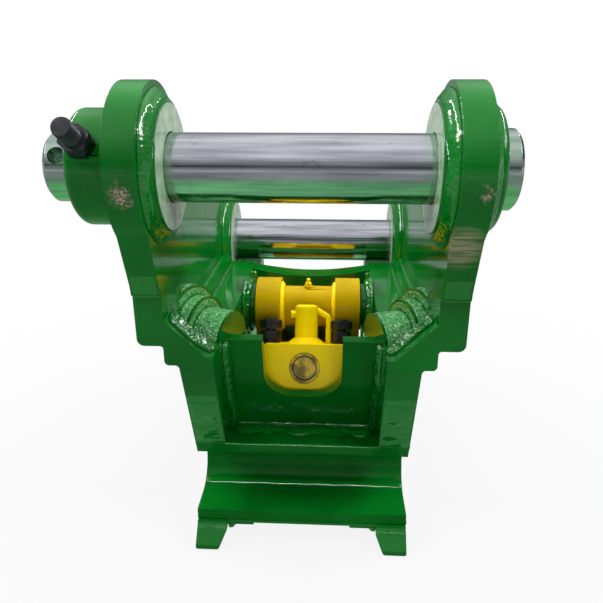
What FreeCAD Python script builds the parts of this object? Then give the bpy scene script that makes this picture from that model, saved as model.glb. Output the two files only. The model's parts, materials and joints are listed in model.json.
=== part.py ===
"""Hydraulic quick coupler for an excavator of about 22 tonnes.

Millimetres. X runs along the pins, Y from the fixed jaw back to the hook, Z up.
The origin is the middle of the stick pin. The coupler stands on its feet.
"""
import FreeCAD, Part
import math
import os

from FreeCAD import Vector

os.makedirs("parts", exist_ok=True)

# Pins that hang the coupler on the stick and on the link
PIN_D = 80.0
PIN_FIT = 0.1
PIN_GAP = 300.0
PIN_SPACING = 453.0
LINK_DROP = 198.0
PIN_HEAD_D = 92.0
PIN_HEAD_T = 22.0
PIN_TAIL = 34.0
PIN_HOLE_D = 20.0
PIN_HOLE_TILT = 26.0
LINK_CLEAR_R = 64.0

# Ear plates and their bosses
EAR_T = 35.0
EAR_INSET = 15.0
EAR_R = 97.0
LINK_EAR_R = 95.0
EAR_VALLEY = 62.0
EAR_FOOT_Z = -211.0
EAR_SAG = 32.0
BOSS_INNER_R = 74.0
BOSS_LEFT_R = 67.0
BOSS_LEFT_T = 55.0
BOSS_RIGHT_R = 72.0
BOSS_RIGHT_T = 20.0
BOSS_ROUND = 10.0

# Lock bolts through the left bosses
LOCK_D = 20.0
LOCK_FIT = 0.3
LOCK_TILT = 27.0
LOCK_INSET = 32.0
LOCK_AF = 30.0
LOCK_NUT_T = 11.0
LOCK_HEAD_T = 13.0
LOCK_REACH = 50.0

# Body: side plates, shoulders and gussets
SIDE_T = 43.0
DECK_Z = -228.0
SHOULDER_STEP = 26.0
FRONT_Y = -40.0
FRONT_LEAN = 21.0
LEAN_Z = -240.0
BEND_R = 30.0
GUSSET_T = 28.0
GUSSET_TOP_Z = -144.0
GUSSET_FOOT_Z = -293.0
GUSSET_DIP_X = 116.0
GUSSET_DIP_Z = -225.0
GUSSET_SHELF_Z = -178.0
SHOULDER_DROP = 70.0
SHOULDER_TAIL = 90.0
FLOOR_Z = -537.0
KEEL_LIFT = 22.0
FOOT_Y = -25.0
FOOT_LENGTH = 90.0
REAR_FOOT_Y = 380.0
REAR_FOOT_LENGTH = 50.0
FOOT_CUT = 12.0
FOOT_CUT_H = 24.0

# Stepped round bosses on top of the side plates, turned to face the fixed jaw a little
STEP_Y = 50.0
STEP_Z = -242.0
STEP_RADII = (42.0, 57.0, 71.0)
STEP_LENGTHS = (42.0, 20.0)
STEP_REACH = 10.0
STEP_TURN = 18.0
STEP_SINK = 14.0

# Fixed jaw, for a bucket pin of the same diameter
JAW_FIT = 1.0
JAW_Y = 42.0
JAW_Z = -444.5
SADDLE_T = 18.0
LIP_Y = 0.0
LIP_BLOCK_W = 37.0
LIP_BLOCK_T = 12.0

# Front plate with its notch
PLATE_T = 20.0
PLATE_TOP_Y = 29.0
PLATE_TOP_Z = -231.0
PLATE_LEAN = 17.7
PLATE_SINK = 7.0
NOTCH_W = 109.0
NOTCH_DEPTH = 101.0
NOTCH_R = 40.0

# Rear seat, cross plates and keel
BUCKET_SPACING = 450.0
SEAT_Z = -425.0
SEAT_WALL = 39.0
CROSS_Y = 365.0
CROSS_T = 40.0
CROSS_SAG = 13.0
CROSS_DEPTH = 46.0
TIE_T = 22.0
KEEL_T = 16.0
KEEL_LENGTH = 115.0

# Hook and its pivot
PIVOT_Y = 251.0
PIVOT_Z = -263.0
PIVOT_D = 50.0
PIVOT_FIT = 0.05
PIVOT_BOSS_R = 39.0
PIVOT_BOSS_W = 21.0
HOOK_SIDE_GAP = 1.0
HOOK_ARM_T = 40.0
HOOK_HUB_R = 48.0
HOOK_TUBE_PLAY = 1.5
HOOK_TUBE_WALL = 7.5
BUSH_WALL = 4.0
HOOK_LIP_T = 36.0
HOOK_FIT = 0.6
HOOK_NECK = 100.0
HOOK_LIP_END = 42.0
HOOK_PAD_BACK = 64.0
HOOK_WEB_T = 19.0
HOOK_WEB_LOW = 27.0
HOOK_CHIN = 56.0
HOOK_CHIN_SET = 9.0

# Cylinder between the side plates
BASE_PIN_Y = 142.0
BASE_PIN_Z = -322.0
ROD_PIN_Y = 372.0
ROD_PIN_Z = -411.0
BASE_PIN_D = 36.0
ROD_PIN_D = 36.0
ROD_PIN_PLAY = 2.0
BASE_W = 124.0
BASE_RISE = 35.0
BASE_DROP = 39.0
BASE_CORNER_R = 33.0
BASE_FACE = 45.0
BASE_BACK = 26.0
LUG_GAP = 1.0
LUG_R = 34.0
LUG_FOOT = 62.0
BARREL_R = 42.0
BORE_R = 30.0
ROD_R = 19.0
BARREL_END = 150.0
GLAND_T = 26.0
GLAND_LIP = 6.0
PISTON_T = 24.0
ROD_END = 34.0
EYE_R = 33.0
EYE_W = 44.0

# Valve and ports on top of the cylinder base
PORT_INSET = 7.0
PORT_AF = 27.0
PORT_UPPER_AF = 30.0
PORT_RISE = 18.0
PORT_CAP_T = 14.0
PORT_COLLAR_T = 4.0
TOWER_R = 17.7
TOWER_H = 60.0
TOWER_FLARE = 12.0
TOWER_BACK = 2.0
PLUG_R = 22.4
PLUG_T = 5.0
PLUG_GAP = 0.8
PLUG_DISC_R = 16.4
PLUG_GROOVE = 1.8
PIPE_R = 4.5
PIPE_BEND = 7.0
PIPE_DROP = 8.0
PIPE_FALL = 30.0

# End plates that keep the pivot pin and the cylinder pin
KEEPER_T = 8.0
KEEPER_BOLT_D = 10.0
KEEPER_AF = 16.0
KEEPER_HEAD_T = 7.0
KEEPER_W = 30.0
KEEPER_SET = 5.0
KEEPER_GAP = 0.2
KEEPER_DEPTH = 30.0
KEEPER_EDGE = 12.0
KEEPER_ROOM = 10.0

# Derived places
PIN_R = PIN_D / 2
PIN_BORE_R = PIN_R + PIN_FIT
BOSS_FACE = PIN_GAP / 2
EAR_IN = BOSS_FACE + EAR_INSET
EAR_OUT = EAR_IN + EAR_T
SIDE_OUT = BOSS_FACE
SIDE_IN = SIDE_OUT - SIDE_T
LINK_Z = -LINK_DROP
SHOULDER_FOOT_Z = EAR_FOOT_Z - SHOULDER_STEP
SHOULDER_TOP_Z = EAR_FOOT_Z - 1
JAW_R = PIN_R + JAW_FIT
SEAT_Y = JAW_Y + math.sqrt(BUCKET_SPACING ** 2 - (SEAT_Z - JAW_Z) ** 2)
REAR_Y = SEAT_Y + JAW_R + SEAT_WALL
CYL_TILT = math.atan2(BASE_PIN_Z - ROD_PIN_Z, ROD_PIN_Y - BASE_PIN_Y)
CYL_LENGTH = math.hypot(ROD_PIN_Y - BASE_PIN_Y, ROD_PIN_Z - BASE_PIN_Z)
HOOK_OUT = SIDE_IN - PIVOT_BOSS_W - HOOK_SIDE_GAP
HOOK_IN = HOOK_OUT - HOOK_ARM_T
HOOK_REACH = math.hypot(SEAT_Y - PIVOT_Y, SEAT_Z - PIVOT_Z)
HOOK_TUBE_BORE_R = PIVOT_D / 2 + HOOK_TUBE_PLAY
HOOK_TUBE_R = HOOK_TUBE_BORE_R + HOOK_TUBE_WALL
PORT_X = BASE_W / 2 - PORT_INSET
FAR = 900.0
KEPT_PINS = (
    (EAR_IN, PIVOT_Y, PIVOT_Z, PIVOT_D),
    (SIDE_OUT, BASE_PIN_Y, BASE_PIN_Z, BASE_PIN_D),
)


def cylinder(radius, start, end):
    """Round bar from one point to another."""
    axis = end - start
    return Part.makeCylinder(radius, axis.Length, start, axis)


def cylinder_x(radius, x0, x1, y, z):
    return cylinder(radius, Vector(x0, y, z), Vector(x1, y, z))


def cone_x(r0, r1, x0, x1, y, z):
    base = Vector(min(x0, x1), y, z)
    first, last = (r0, r1) if x0 < x1 else (r1, r0)
    return Part.makeCone(first, last, abs(x1 - x0), base, Vector(1, 0, 0))


def box(x0, x1, y0, y1, z0, z1):
    return Part.makeBox(x1 - x0, y1 - y0, z1 - z0, Vector(x0, y0, z0))


def rounded_face(points, lift):
    """Face of a closed outline whose corners are (u, v, radius); lift turns (u, v) into a place."""
    count = len(points)
    starts, ends, edges = [], [], []
    for i, (u, v, radius) in enumerate(points):
        here = Vector(u, v, 0)
        back = Vector(*points[i - 1][:2], 0) - here
        ahead = Vector(*points[(i + 1) % count][:2], 0) - here
        if radius <= 0:
            starts.append(here)
            ends.append(here)
            continue
        half = back.getAngle(ahead) / 2
        reach = radius / math.tan(half)
        back.normalize()
        ahead.normalize()
        starts.append(here + back * reach)
        ends.append(here + ahead * reach)
        middle = back + ahead
        middle.normalize()
        crown = here + middle * (radius / math.sin(half) - radius)
        arc = Part.Arc(lift(starts[-1]), lift(crown), lift(ends[-1]))
        edges.append((i, arc.toShape()))
    arcs = dict(edges)
    path = []
    for i in range(count):
        if i in arcs:
            path.append(arcs[i])
        leave, reach = ends[i], starts[(i + 1) % count]
        if (reach - leave).Length > 0.001:
            path.append(Part.LineSegment(lift(leave), lift(reach)).toShape())
    return Part.Face(Part.Wire(path))


def plate_yz(points, x0, x1):
    """Plate between two X places with a rounded (y, z, radius) outline."""
    face = rounded_face(points, lambda p: Vector(x0, p.x, p.y))
    return face.extrude(Vector(x1 - x0, 0, 0))


def plate_xz(points, y0, y1):
    """Plate between two Y places with a rounded (x, z, radius) outline."""
    face = rounded_face(points, lambda p: Vector(p.x, y0, p.y))
    return face.extrude(Vector(0, y1 - y0, 0))


def hexagon(across_flats, start, end, turn=0.0):
    """Hexagonal bar from one point to another, with lightly chamfered ends."""
    axis = end - start
    radius = across_flats / math.sqrt(3)
    points = []
    for i in range(7):
        angle = math.radians(60 * i + turn)
        points.append(Vector(radius * math.cos(angle), radius * math.sin(angle), 0))
    prism = Part.Face(Part.makePolygon(points)).extrude(Vector(0, 0, axis.Length))
    crown = radius - across_flats / 2
    rim = Part.makeCone(across_flats / 2 - crown, radius + axis.Length, axis.Length + 2 * crown)
    other = rim.copy()
    other.rotate(Vector(), Vector(1, 0, 0), 180)
    other.translate(Vector(0, 0, axis.Length + crown))
    rim.translate(Vector(0, 0, -crown))
    prism = prism.common(rim).common(other)
    prism.Placement = FreeCAD.Placement(start, FreeCAD.Rotation(Vector(0, 0, 1), axis))
    return prism


def fuse(shapes):
    whole = shapes[0].fuse(shapes[1:]) if len(shapes) > 1 else shapes[0]
    return whole.removeSplitter()


def cut(shape, tools):
    return shape.cut(tools).removeSplitter()


def mirrored(shape):
    return shape.mirror(Vector(0, 0, 0), Vector(1, 0, 0))


def save(name, shape):
    solids = shape.Solids
    shape = solids[0] if len(solids) == 1 else Part.makeCompound(solids)
    shape.exportStep("parts/" + name + ".step")


def save_pair(name, right):
    save(name + "_right", right)
    save(name + "_left", mirrored(right))


def lean_y(z):
    """Front face of the body: upright above LEAN_Z, leaning back below it."""
    return FRONT_Y + max(0.0, LEAN_Z - z) * math.tan(math.radians(FRONT_LEAN))


def along_cylinder(distance, rise=0.0, x=0.0):
    """Place at a distance behind the base pin along the cylinder, and above its axis."""
    ahead = Vector(0, math.cos(CYL_TILT), -math.sin(CYL_TILT))
    up = Vector(0, math.sin(CYL_TILT), math.cos(CYL_TILT))
    return Vector(x, BASE_PIN_Y, BASE_PIN_Z) + ahead * distance + up * rise


def around_cylinder(shape):
    """Moves a shape drawn along +Y at the base pin onto the tilted cylinder axis."""
    shape.rotate(Vector(), Vector(1, 0, 0), -math.degrees(CYL_TILT))
    shape.translate(Vector(0, BASE_PIN_Y, BASE_PIN_Z))
    return shape


def pin_bores(radius, x0, x1):
    return [cylinder_x(radius, x0, x1, 0, 0), cylinder_x(radius, x0, x1, PIN_SPACING, LINK_Z)]


def lock_line(y, z):
    """Axis of a lock bolt: its direction and its place on the pin axis."""
    tilt = math.radians(LOCK_TILT)
    middle = Vector(-(EAR_OUT + LOCK_INSET), y, z)
    return middle, Vector(0, -math.cos(tilt), math.sin(tilt))


def lock_bore(y, z):
    middle, way = lock_line(y, z)
    reach = way * (BOSS_LEFT_R + 5)
    return cylinder(LOCK_D / 2 + LOCK_FIT, middle - reach, middle + reach)


def gusset_profile():
    """Bent strip in the YZ plane that the front gussets and the cuts behind them share."""
    foot = lean_y(GUSSET_FOOT_Z)
    return [
        (FRONT_Y, GUSSET_TOP_Z, 0), (FRONT_Y, LEAN_Z, BEND_R), (foot, GUSSET_FOOT_Z, 0),
        (foot + GUSSET_T, GUSSET_FOOT_Z, 0), (FRONT_Y + GUSSET_T, LEAN_Z, BEND_R),
        (FRONT_Y + GUSSET_T, GUSSET_TOP_Z, 0),
    ]


def gusset_room():
    """Everything from the back of the gusset forward."""
    points = gusset_profile()
    back = points[3:]
    front = [(FRONT_Y - 60, GUSSET_TOP_Z, 0), (FRONT_Y - 60, GUSSET_FOOT_Z, 0)]
    return plate_yz(front + back, 0, EAR_OUT + 5)


def ear_plate():
    """One upper plate with an ear for each pin and a valley between them."""
    lower = [
        (-EAR_R * 0.8, -0.5 * EAR_R, 12), (FRONT_Y - 5, 1.4 * -EAR_R, 60), (FRONT_Y, EAR_FOOT_Z, 0),
        (FRONT_Y + 80, EAR_FOOT_Z - 4, 60), (FRONT_Y + 150, EAR_FOOT_Z - EAR_SAG, 30),
        (PIN_SPACING - LINK_EAR_R - 30, EAR_FOOT_Z - EAR_SAG, 60), (PIN_SPACING - 38, LINK_Z - 84, 0),
        (PIN_SPACING, LINK_Z, 0), (PIN_SPACING + 28, LINK_Z + 88, 0), (20, 92, 0),
    ]
    web = plate_yz(lower, EAR_IN, EAR_OUT)
    ears = [
        cylinder_x(EAR_R, EAR_IN, EAR_OUT, 0, 0),
        cylinder_x(LINK_EAR_R, EAR_IN, EAR_OUT, PIN_SPACING, LINK_Z),
    ]
    span = math.hypot(PIN_SPACING, LINK_DROP)
    half = span / 2 - 30
    valley_r = (half ** 2 + EAR_VALLEY ** 2) / (2 * EAR_VALLEY)
    rise = valley_r - EAR_VALLEY + EAR_R
    y = PIN_SPACING / 2 + rise * LINK_DROP / span
    z = LINK_Z / 2 + rise * PIN_SPACING / span
    plate = fuse([web] + ears)
    plate = plate.cut([cylinder_x(valley_r, 0, FAR, y, z), gusset_room()] + pin_bores(PIN_BORE_R, 0, FAR))
    return plate.removeSplitter()


def shoulder_plate():
    """Doubler between the side plate and the ear plate, kept clear of the cylinder pin's keeper."""
    front = FRONT_Y + GUSSET_T
    back = PIN_SPACING - 20
    top = SHOULDER_TOP_Z
    low = PIVOT_Z - SHOULDER_DROP
    dip = BASE_PIN_Z - KEEPER_SET + KEEPER_W / 2 + KEEPER_ROOM
    half = keeper_reach(BASE_PIN_D) + KEEPER_EDGE + 3
    points = [
        (front, top, 0), (front, SHOULDER_FOOT_Z, 0), (BASE_PIN_Y - half, dip, 40),
        (BASE_PIN_Y + half, dip, 20), (BASE_PIN_Y + 1.7 * half, low, 20),
        (PIVOT_Y + 1.2 * PIVOT_D, low, 30), (back, LINK_Z - SHOULDER_TAIL, 20), (back, top, 0),
    ]
    plate = plate_yz(points, SIDE_OUT, EAR_IN)
    tools = [
        cylinder_x(BOSS_INNER_R + 2, 0, FAR, PIN_SPACING, LINK_Z), gusset_room(),
        cylinder_x(PIVOT_D / 2 + PIVOT_FIT, 0, FAR, PIVOT_Y, PIVOT_Z),
    ]
    return cut(plate, tools + keeper_holes())


def front_gusset():
    """Bent front plate that steps in from the ear to the side plate."""
    bent = plate_yz(gusset_profile(), SIDE_IN, EAR_OUT)
    outline = [
        (EAR_OUT, GUSSET_TOP_Z, 0), (EAR_IN, GUSSET_TOP_Z, 0), (EAR_IN, GUSSET_SHELF_Z, 0),
        (GUSSET_DIP_X, GUSSET_DIP_Z, 10), (SIDE_IN, GUSSET_DIP_Z, 0), (SIDE_IN, GUSSET_FOOT_Z - 5, 0),
        (SIDE_OUT, GUSSET_FOOT_Z - 5, 0), (SIDE_OUT, SHOULDER_FOOT_Z, 5),
        (EAR_IN + 3, SHOULDER_FOOT_Z, 6), (EAR_IN + 3, EAR_FOOT_Z, 4), (EAR_OUT, EAR_FOOT_Z, 9),
    ]
    return bent.common(plate_xz(outline, FRONT_Y - 5, FRONT_Y + 150))


def saddle_room():
    """Outer form of the jaw saddle, run out to the front."""
    radius = JAW_R + SADDLE_T
    front = box(-FAR, FAR, FRONT_Y - 40, JAW_Y, JAW_Z - radius, JAW_Z + radius)
    return fuse([cylinder_x(radius, -FAR, FAR, JAW_Y, JAW_Z), front])


def jaw_mouth():
    front = box(-FAR, FAR, FRONT_Y - 60, JAW_Y, JAW_Z - JAW_R, JAW_Z + JAW_R)
    return fuse([cylinder_x(JAW_R, -FAR, FAR, JAW_Y, JAW_Z), front])


def jaw_saddle():
    """Full width C that carries the front bucket pin."""
    top = JAW_Z + JAW_R + SADDLE_T
    upper = lean_y(top)
    points = [
        (upper, top, 0), (lean_y(top - SADDLE_T), top - SADDLE_T, 0), (JAW_Y, JAW_Z, 0),
        (LIP_Y, JAW_Z - JAW_R, 3), (LIP_Y, JAW_Z - JAW_R - SADDLE_T, 3),
        (JAW_Y + 90, JAW_Z - JAW_R - SADDLE_T, 0), (JAW_Y + 90, top, 0),
    ]
    blank = plate_yz(points, -SIDE_OUT, SIDE_OUT)
    return blank.common(saddle_room()).cut(jaw_mouth()).removeSplitter()


def side_plate():
    """Lower plate: front edge, C for the saddle, keel with two feet, and the rear seat."""
    front_back = FRONT_Y + GUSSET_T
    gusset_foot = lean_y(GUSSET_FOOT_Z)
    lip_foot = JAW_Z - JAW_R - SADDLE_T
    top = JAW_Z + JAW_R + SADDLE_T
    keel = FLOOR_Z + KEEL_LIFT
    mouth_front = SEAT_Y - JAW_R
    points = [
        (front_back, DECK_Z, 0), (front_back, LEAN_Z, BEND_R),
        (gusset_foot + GUSSET_T, GUSSET_FOOT_Z, 0), (gusset_foot, GUSSET_FOOT_Z, 0),
        (lean_y(top), top, 0), (LIP_Y - 4, JAW_Z, 0), (LIP_Y - 4, lip_foot - 2, 0),
        (FOOT_Y, FLOOR_Z + 8, 4), (FOOT_Y, FLOOR_Z, 3), (FOOT_Y + FOOT_LENGTH, FLOOR_Z, 8),
        (FOOT_Y + FOOT_LENGTH + KEEL_LIFT, keel, 20), (REAR_FOOT_Y - KEEL_LIFT, keel, 20),
        (REAR_FOOT_Y, FLOOR_Z, 8), (REAR_FOOT_Y + REAR_FOOT_LENGTH, FLOOR_Z, 6),
        (mouth_front, SEAT_Z - JAW_R, 20), (mouth_front, SEAT_Z, 0), (SEAT_Y, SEAT_Z + 1, 0),
        (SEAT_Y + JAW_R, SEAT_Z, 0), (SEAT_Y + JAW_R, SEAT_Z - 24, 8),
        (SEAT_Y + JAW_R + 16, SEAT_Z - 48, 5), (REAR_Y, SEAT_Z - 30, 12),
        (REAR_Y, SEAT_Z + JAW_R + SEAT_WALL, 60), (SEAT_Y + 25, DECK_Z, 30),
    ]
    plate = plate_yz(points, SIDE_IN, SIDE_OUT)
    tools = [
        saddle_room(), cylinder_x(JAW_R, 0, FAR, SEAT_Y, SEAT_Z),
        cylinder_x(LINK_CLEAR_R, 0, FAR, PIN_SPACING, LINK_Z),
        cylinder_x(PIVOT_D / 2 + PIVOT_FIT, 0, FAR, PIVOT_Y, PIVOT_Z),
        cylinder_x(BASE_PIN_D / 2 + PIVOT_FIT, 0, FAR, BASE_PIN_Y, BASE_PIN_Z),
    ]
    return cut(plate.common(foot_room()), tools + keeper_holes())


def foot_room():
    """Outline seen from the front that rounds the inner edge of the feet."""
    points = [
        (SIDE_IN - 1, 0, 0), (SIDE_IN - 1, FLOOR_Z + FOOT_CUT_H, 0), (SIDE_IN, FLOOR_Z + FOOT_CUT_H, 0),
        (SIDE_IN + FOOT_CUT, FLOOR_Z, 8), (SIDE_OUT, FLOOR_Z, 5), (SIDE_OUT, 0, 0),
    ]
    return plate_xz(points, -FAR, FAR)


def step_boss():
    """Three round steps from the ear down to the side plate, standing on the deck."""
    turn = math.radians(STEP_TURN)
    way = Vector(math.cos(turn), math.sin(turn), 0)
    first = Vector(SIDE_IN - STEP_REACH, STEP_Y, STEP_Z)
    second = first + way * STEP_LENGTHS[0]
    third = second + way * STEP_LENGTHS[1]
    inner, middle, outer = STEP_RADII
    steps = fuse([
        cylinder(inner, first, second), cylinder(middle, second, third),
        cylinder(outer, third, third + way * EAR_IN),
    ])
    below = [
        box(SIDE_IN, SIDE_OUT, -FAR, FAR, -FAR, DECK_Z),
        box(-FAR, SIDE_IN, -FAR, FAR, -FAR, DECK_Z - STEP_SINK),
        box(SIDE_OUT, FAR, -FAR, FAR, -FAR, SHOULDER_TOP_Z), box(EAR_IN, FAR, -FAR, FAR, -FAR, FAR),
        gusset_room(), front_plate_room(),
    ]
    return cut(steps, below)


def front_plate_room():
    lean = math.tan(math.radians(PLATE_LEAN))
    depth = 300.0
    points = [
        (PLATE_TOP_Y - 80, PLATE_TOP_Z, 0), (PLATE_TOP_Y - 80, PLATE_TOP_Z - depth, 0),
        (PLATE_TOP_Y + PLATE_T + depth * lean, PLATE_TOP_Z - depth, 0),
        (PLATE_TOP_Y + PLATE_T, PLATE_TOP_Z, 0),
    ]
    return plate_yz(points, 0, SIDE_IN)


def front_plate():
    """Leaning plate between the side plates, notched for the cylinder base."""
    lean = math.tan(math.radians(PLATE_LEAN))
    foot = JAW_Z + JAW_R - PLATE_SINK
    run = (PLATE_TOP_Z - foot) * lean
    points = [
        (PLATE_TOP_Y, PLATE_TOP_Z, 3), (PLATE_TOP_Y + run, foot, 0),
        (PLATE_TOP_Y + run + PLATE_T, foot, 0), (PLATE_TOP_Y + PLATE_T, PLATE_TOP_Z, 0),
    ]
    plate = plate_yz(points, -SIDE_IN, SIDE_IN).cut(saddle_room())
    half = NOTCH_W / 2
    notch = [
        (-half, PLATE_TOP_Z + 30, 0), (-half, PLATE_TOP_Z - NOTCH_DEPTH, NOTCH_R),
        (half, PLATE_TOP_Z - NOTCH_DEPTH, NOTCH_R), (half, PLATE_TOP_Z + 30, 0),
    ]
    return cut(plate, [plate_xz(notch, PLATE_TOP_Y - 20, PLATE_TOP_Y + 160)])


def lip_block():
    """Small brace under the lower lip, against the side plate."""
    lip_foot = JAW_Z - JAW_R - SADDLE_T
    points = [
        (LIP_Y + 4, lip_foot, 0), (LIP_Y + 4, lip_foot - LIP_BLOCK_T, 3),
        (JAW_Y, lip_foot - LIP_BLOCK_T, 3), (JAW_Y, lip_foot, 0),
    ]
    return plate_yz(points, SIDE_IN - LIP_BLOCK_W, SIDE_IN)


def keel_plate():
    """Floor of the body behind the fixed jaw."""
    y0 = JAW_Y + JAW_R / 2
    y1 = y0 + KEEL_LENGTH
    z = FLOOR_Z + KEEL_LIFT + 4
    points = [(y0, z, 0), (y1, z, 6), (y1, z + KEEL_T, 6), (y0, z + KEEL_T, 0)]
    return plate_yz(points, -SIDE_IN, SIDE_IN).cut(saddle_room())


def rear_cross_plate():
    """Upright plate with a hollow top edge that clears the link."""
    top = DECK_Z - 4
    half = SIDE_IN
    radius = (half ** 2 + CROSS_SAG ** 2) / (2 * CROSS_SAG)
    plate = box(-half, half, CROSS_Y, CROSS_Y + CROSS_T, top - CROSS_DEPTH, top)
    centre = Vector(0, CROSS_Y - 5, top - CROSS_SAG + radius)
    hollow = cylinder(radius, centre, centre + Vector(0, CROSS_T + 10, 0))
    link = cylinder_x(LINK_CLEAR_R, -FAR, FAR, PIN_SPACING, LINK_Z)
    return cut(plate, [hollow, link])


def rear_tie_plate():
    """Plate over the rear seat that ties the side plates together."""
    z = SEAT_Z + JAW_R + 18
    points = [
        (SEAT_Y - 12, z, 4), (REAR_Y - 24, z, 4), (REAR_Y - 24, z + TIE_T, 4),
        (SEAT_Y - 12, z + TIE_T, 4),
    ]
    return plate_yz(points, -SIDE_IN, SIDE_IN)


def boss_ring(radius, x0, x1, y, z):
    """Ring around a pin with its outer rim rounded."""
    disc = cylinder_x(radius, x0, x1, y, z)
    rim = [edge for edge in disc.Edges if edge.BoundBox.XMin > (x0 + x1) / 2]
    ring = disc.makeFillet(BOSS_ROUND, rim)
    return ring.cut(cylinder_x(PIN_BORE_R, x0 - 5, x1 + 5, y, z))


def inner_boss(y, z):
    ring = cylinder_x(BOSS_INNER_R, BOSS_FACE, EAR_IN, y, z)
    return ring.cut(cylinder_x(PIN_BORE_R, 0, FAR, y, z))


def hinge_pin(y, z):
    """Pin with a round head on the right and a cross hole in its tail on the left."""
    tail = EAR_OUT + BOSS_LEFT_T + PIN_TAIL
    head = EAR_OUT + BOSS_RIGHT_T
    bar = cylinder_x(PIN_R, -tail + 4, head + 1, y, z)
    tip = cone_x(PIN_R, PIN_R - 4, -tail + 4, -tail, y, z)
    cap = cylinder_x(PIN_HEAD_D / 2, head, head + PIN_HEAD_T - 4, y, z)
    rim = cone_x(PIN_HEAD_D / 2, PIN_HEAD_D / 2 - 4, head + PIN_HEAD_T - 4, head + PIN_HEAD_T, y, z)
    whole = fuse([bar, tip, cap, rim])
    hole_x = -(tail - PIN_TAIL / 2)
    tilt = math.radians(PIN_HOLE_TILT)
    reach = Vector(0, -math.cos(tilt), math.sin(tilt)) * (PIN_R + 5)
    hole = cylinder(PIN_HOLE_D / 2, Vector(hole_x, y, z) - reach, Vector(hole_x, y, z) + reach)
    return cut(whole, [hole, lock_bore(y, z)])


def lock_bolt(y, z):
    middle, way = lock_line(y, z)
    seat = middle - way * (BOSS_LEFT_R + 1)
    tip = middle + way * (BOSS_LEFT_R + LOCK_REACH)
    shank = cylinder(LOCK_D / 2, seat, tip)
    return fuse([shank, hexagon(LOCK_AF, seat - way * LOCK_HEAD_T, seat)])


def lock_nuts(y, z):
    middle, way = lock_line(y, z)
    first = middle + way * (BOSS_LEFT_R + 0.5)
    nuts = []
    for i in range(2):
        start = first + way * (i * (LOCK_NUT_T + 0.5))
        nut = hexagon(LOCK_AF, start, start + way * LOCK_NUT_T, 17.0 * i)
        nuts.append(nut.cut(cylinder(LOCK_D / 2 + 0.05, start - way, start + way * 40)))
    return nuts


def keeper_spots():
    """Face and place of the end plate bolts, either side of each kept pin."""
    spots = []
    for face, y, z, pin_d in KEPT_PINS:
        reach = keeper_reach(pin_d)
        for way in (-1, 1):
            spots.append((face, y + way * reach, z - KEEPER_SET))
    return spots


def keeper_reach(pin_d):
    return pin_d / 2 + KEEPER_BOLT_D + 4


def keeper_holes():
    return [
        cylinder_x(KEEPER_BOLT_D / 2 + 0.05, face - KEEPER_DEPTH, face + 1, y, z)
        for face, y, z in keeper_spots()
    ]


def keeper_plate(face, y, z, pin_d):
    """Flat end plate over a kept pin, between its two bolts."""
    span = keeper_reach(pin_d) + KEEPER_EDGE
    low = z - KEEPER_SET - KEEPER_W / 2
    high = low + KEEPER_W
    points = [(y - span, low, 8), (y + span, low, 8), (y + span, high, 8), (y - span, high, 8)]
    plate = plate_yz(points, face + KEEPER_GAP, face + KEEPER_GAP + KEEPER_T)
    holes = [
        cylinder_x(KEEPER_BOLT_D / 2 + 0.3, 0, FAR, y + way * keeper_reach(pin_d), z - KEEPER_SET)
        for way in (-1, 1)
    ]
    return cut(plate, holes)


def keeper_bolt(face, y, z):
    seat = face + KEEPER_GAP + KEEPER_T
    shank = cylinder_x(KEEPER_BOLT_D / 2, face - KEEPER_DEPTH + 4, seat + 1, y, z)
    head = hexagon(KEEPER_AF, Vector(seat, y, z), Vector(seat + KEEPER_HEAD_T, y, z))
    return fuse([shank, head])


def pivot_boss():
    ring = cylinder_x(PIVOT_BOSS_R, HOOK_OUT + HOOK_SIDE_GAP, SIDE_IN, PIVOT_Y, PIVOT_Z)
    return ring.cut(cylinder_x(PIVOT_D / 2 + PIVOT_FIT, 0, FAR, PIVOT_Y, PIVOT_Z))


def cylinder_lug():
    """Lug on the inside of the side plate that carries one end of the cylinder pin."""
    inner = BASE_W / 2 + LUG_GAP
    eye = cylinder_x(LUG_R, inner, SIDE_IN, BASE_PIN_Y, BASE_PIN_Z)
    low = BASE_PIN_Z - LUG_FOOT
    foot = plate_yz([
        (BASE_PIN_Y - LUG_R, BASE_PIN_Z, 0), (BASE_PIN_Y - LUG_R + 6, low, 8),
        (BASE_PIN_Y + LUG_R + 10, low, 8), (BASE_PIN_Y + LUG_R, BASE_PIN_Z, 0),
    ], inner, SIDE_IN)
    bore = cylinder_x(BASE_PIN_D / 2 + PIVOT_FIT, 0, FAR, BASE_PIN_Y, BASE_PIN_Z)
    return cut(fuse([eye, foot]), [bore])


def on_hook(along, up, radius=0.0):
    """Outline corner in the hook's own frame: from the pivot towards the bucket pin, and above."""
    ahead_y = (SEAT_Y - PIVOT_Y) / HOOK_REACH
    ahead_z = (SEAT_Z - PIVOT_Z) / HOOK_REACH
    y = PIVOT_Y + ahead_y * along - ahead_z * up
    z = PIVOT_Z + ahead_z * along + ahead_y * up
    return (y, z, radius)


def hook_mouth():
    """Space of the rear bucket pin and its way out of the hook."""
    radius = JAW_R + HOOK_FIT
    way = plate_yz([
        on_hook(HOOK_REACH - radius, 0), on_hook(HOOK_REACH - radius, 4 * radius),
        on_hook(HOOK_REACH + 4 * radius, 4 * radius), on_hook(HOOK_REACH + 4 * radius, 8 - radius),
        on_hook(HOOK_REACH, -0.2 * radius),
    ], -FAR, FAR)
    return [way, cylinder_x(radius, -FAR, FAR, SEAT_Y, SEAT_Z)]


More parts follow.
